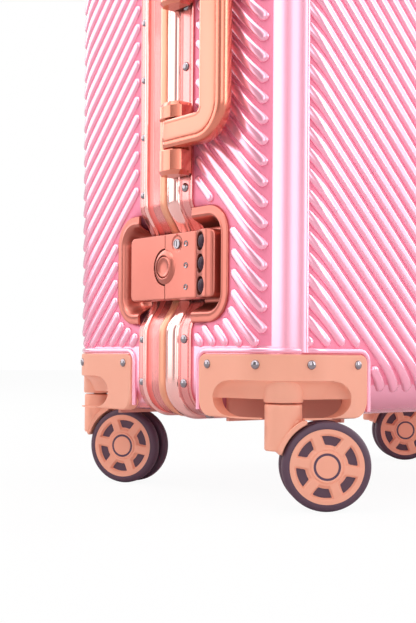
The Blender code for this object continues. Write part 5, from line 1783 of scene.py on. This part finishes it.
@dataclass
class Studio:
    """White studio: floor, world, soft lamps and the camera."""

    eye: tuple[float, float, float] = (-0.447983, -0.493137, 0.095096)
    yaw: float = 38.437
    pitch: float = 0.874
    roll: float = 0.416
    lens: float = 63.78
    shift_y: float = 0.0468
    sky: float = 0.50
    brightest: float = 3.4
    panels: tuple[tuple[float, float], ...] = (
        (0, 0.9), (100, 0.7), (116, 0.45), (121, 3.2), (152, 2.8), (160, 0.8), (180, 0.3), (190, 0.7),
        (201, 3.4), (216, 3.4), (224, 0.8), (240, 0.9), (247, 3.2), (262, 3.2), (272, 0.6), (292, 0.8),
        (302, 2.3), (326, 2.3), (336, 0.9), (360, 0.9))
    floor_glow: float = 0.94

    def floor(self) -> None:
        """A wide pale floor; seen directly it is mostly white, and it keeps the soft shadow."""
        mesh = bpy.data.meshes.new("studio_floor")
        half = 6.0
        corners = [(-half, -half, 0), (half, -half, 0), (half, half, 0), (-half, half, 0)]
        mesh.from_pydata(corners, [], [(0, 1, 2, 3)])
        floor = bpy.data.objects.new("studio_floor", mesh)
        bpy.context.scene.collection.objects.link(floor)
        made, nodes, links, shader = new_material("studio_white")
        shader.inputs["Base Color"].default_value = (0.92, 0.92, 0.92, 1)
        shader.inputs["Roughness"].default_value = 0.9
        glow, mix = nodes.new("ShaderNodeEmission"), nodes.new("ShaderNodeMixShader")
        path = nodes.new("ShaderNodeLightPath")
        seen = seen_directly(nodes, links, path)
        links.new(math_node(nodes, links, "MULTIPLY", seen, self.floor_glow), mix.inputs[0])
        links.new(shader.outputs[0], mix.inputs[1])
        links.new(glow.outputs[0], mix.inputs[2])
        links.new(mix.outputs[0], nodes["Material Output"].inputs[0])
        mesh.materials.append(made)

    def world(self) -> None:
        """White where it is seen, even where it lights, and light boxes with grey between in reflections.

        Panels are (azimuth in degrees, level) stops; level runs straight from one stop to the next.
        """
        world = bpy.data.worlds.new("studio_world")
        bpy.context.scene.world = world
        world.use_nodes = True
        nodes, links = world.node_tree.nodes, world.node_tree.links
        background = nodes["Background"]
        background.inputs[0].default_value = (1, 1, 1, 1)
        path, place = nodes.new("ShaderNodeLightPath"), nodes.new("ShaderNodeTexCoord")
        split = nodes.new("ShaderNodeSeparateXYZ")
        links.new(place.outputs["Generated"], split.inputs[0])
        turn = math_node(nodes, links, "ARCTAN2", split.outputs[1], split.outputs[0])
        share = math_node(nodes, links, "FRACT", math_node(nodes, links, "MULTIPLY", turn, 0.5 / math.pi))
        ramp = nodes.new("ShaderNodeValToRGB")
        links.new(share, ramp.inputs[0])
        stops = ramp.color_ramp.elements
        for degrees, level in self.panels:
            stop = stops[0] if degrees == 0 else stops[-1] if degrees == 360 else stops.new(degrees / 360)
            stop.color = (level / self.brightest,) * 3 + (1,)
        level = math_node(nodes, links, "MULTIPLY", ramp.outputs[0], self.brightest)
        glossy = math_node(nodes, links, "MULTIPLY", path.outputs["Is Glossy Ray"],
                           math_node(nodes, links, "SUBTRACT", level, self.sky))
        lit = math_node(nodes, links, "ADD", glossy, self.sky)
        seen = seen_directly(nodes, links, path)
        links.new(math_node(nodes, links, "MAXIMUM", lit, seen), background.inputs[1])

    def lamp(self, name: str, place: Sequence[float], size: tuple[float, float], power: float,
             aim: Sequence[float] = (0, 0, 0.25)) -> None:
        """A soft rectangular lamp aimed at the case."""
        data = bpy.data.lights.new(name, "AREA")
        data.shape = "RECTANGLE"
        data.size, data.size_y = size
        data.energy = power
        lamp = bpy.data.objects.new(name, data)
        lamp.location = place
        lamp.rotation_euler = (Vector(aim) - Vector(place)).to_track_quat("-Z", "Y").to_euler()
        bpy.context.scene.collection.objects.link(lamp)

    def camera(self) -> None:
        """The camera, placed from the shell's near left corner at the floor."""
        yaw, pitch, roll = (math.radians(angle) for angle in (self.yaw, self.pitch, self.roll))
        ahead = Vector((math.sin(yaw) * math.cos(pitch), math.cos(yaw) * math.cos(pitch), math.sin(pitch)))
        right = Vector((math.cos(yaw), -math.sin(yaw), 0))
        up = right.cross(ahead)
        across = right * math.cos(roll) + up * math.sin(roll)
        upright = up * math.cos(roll) - right * math.sin(roll)
        data = bpy.data.cameras.new("studio_camera")
        data.lens, data.shift_y = self.lens, self.shift_y
        data.clip_start = 0.01
        camera = bpy.data.objects.new("studio_camera", data)
        turn = Matrix((across, upright, -ahead)).transposed().to_4x4()
        eye = Vector((DATUM.left + self.eye[0], DATUM.front + self.eye[1], self.eye[2]))
        camera.matrix_world = Matrix.Translation(eye) @ turn
        bpy.context.scene.collection.objects.link(camera)
        bpy.context.scene.camera = camera

    def build(self) -> None:
        """Set the whole studio up."""
        bpy.context.scene.view_settings.view_transform = "Standard"
        self.floor()
        self.world()
        self.lamp("left_high_box", (-1.5, 0.1, 1.9), (0.9, 1.2), 17.0)
        self.lamp("right_box", (2.1, -0.5, 1.1), (0.9, 1.6), 20.0)
        self.lamp("front_box", (0.9, -2.0, 0.9), (0.5, 1.6), 12.0)
        self.lamp("back_box", (-0.6, 2.0, 1.2), (0.7, 1.4), 12.0)
        self.camera()


def main() -> None:
    """Build the suitcase piece by piece around its frame."""
    logging.basicConfig(level=logging.INFO, format="%(message)s")
    Studio().build()
    for half in Half:
        ShellHalf(half).build()
        FrameRing(half).build()
        Lining(half).build()
        for sign in (-1, 1):
            Housing(half, sign).build()
    for where in ("front_left", "front_right", "rear_left", "rear_right"):
        Caster(where).build()
    for which in ("lower", "upper"):
        Lock(which).build()
    for which in ("side", "top"):
        CarryHandle(which).build()
    TrolleyGrip().build()
    dress_packed_nodes()


if __name__ == "__main__":
    main()
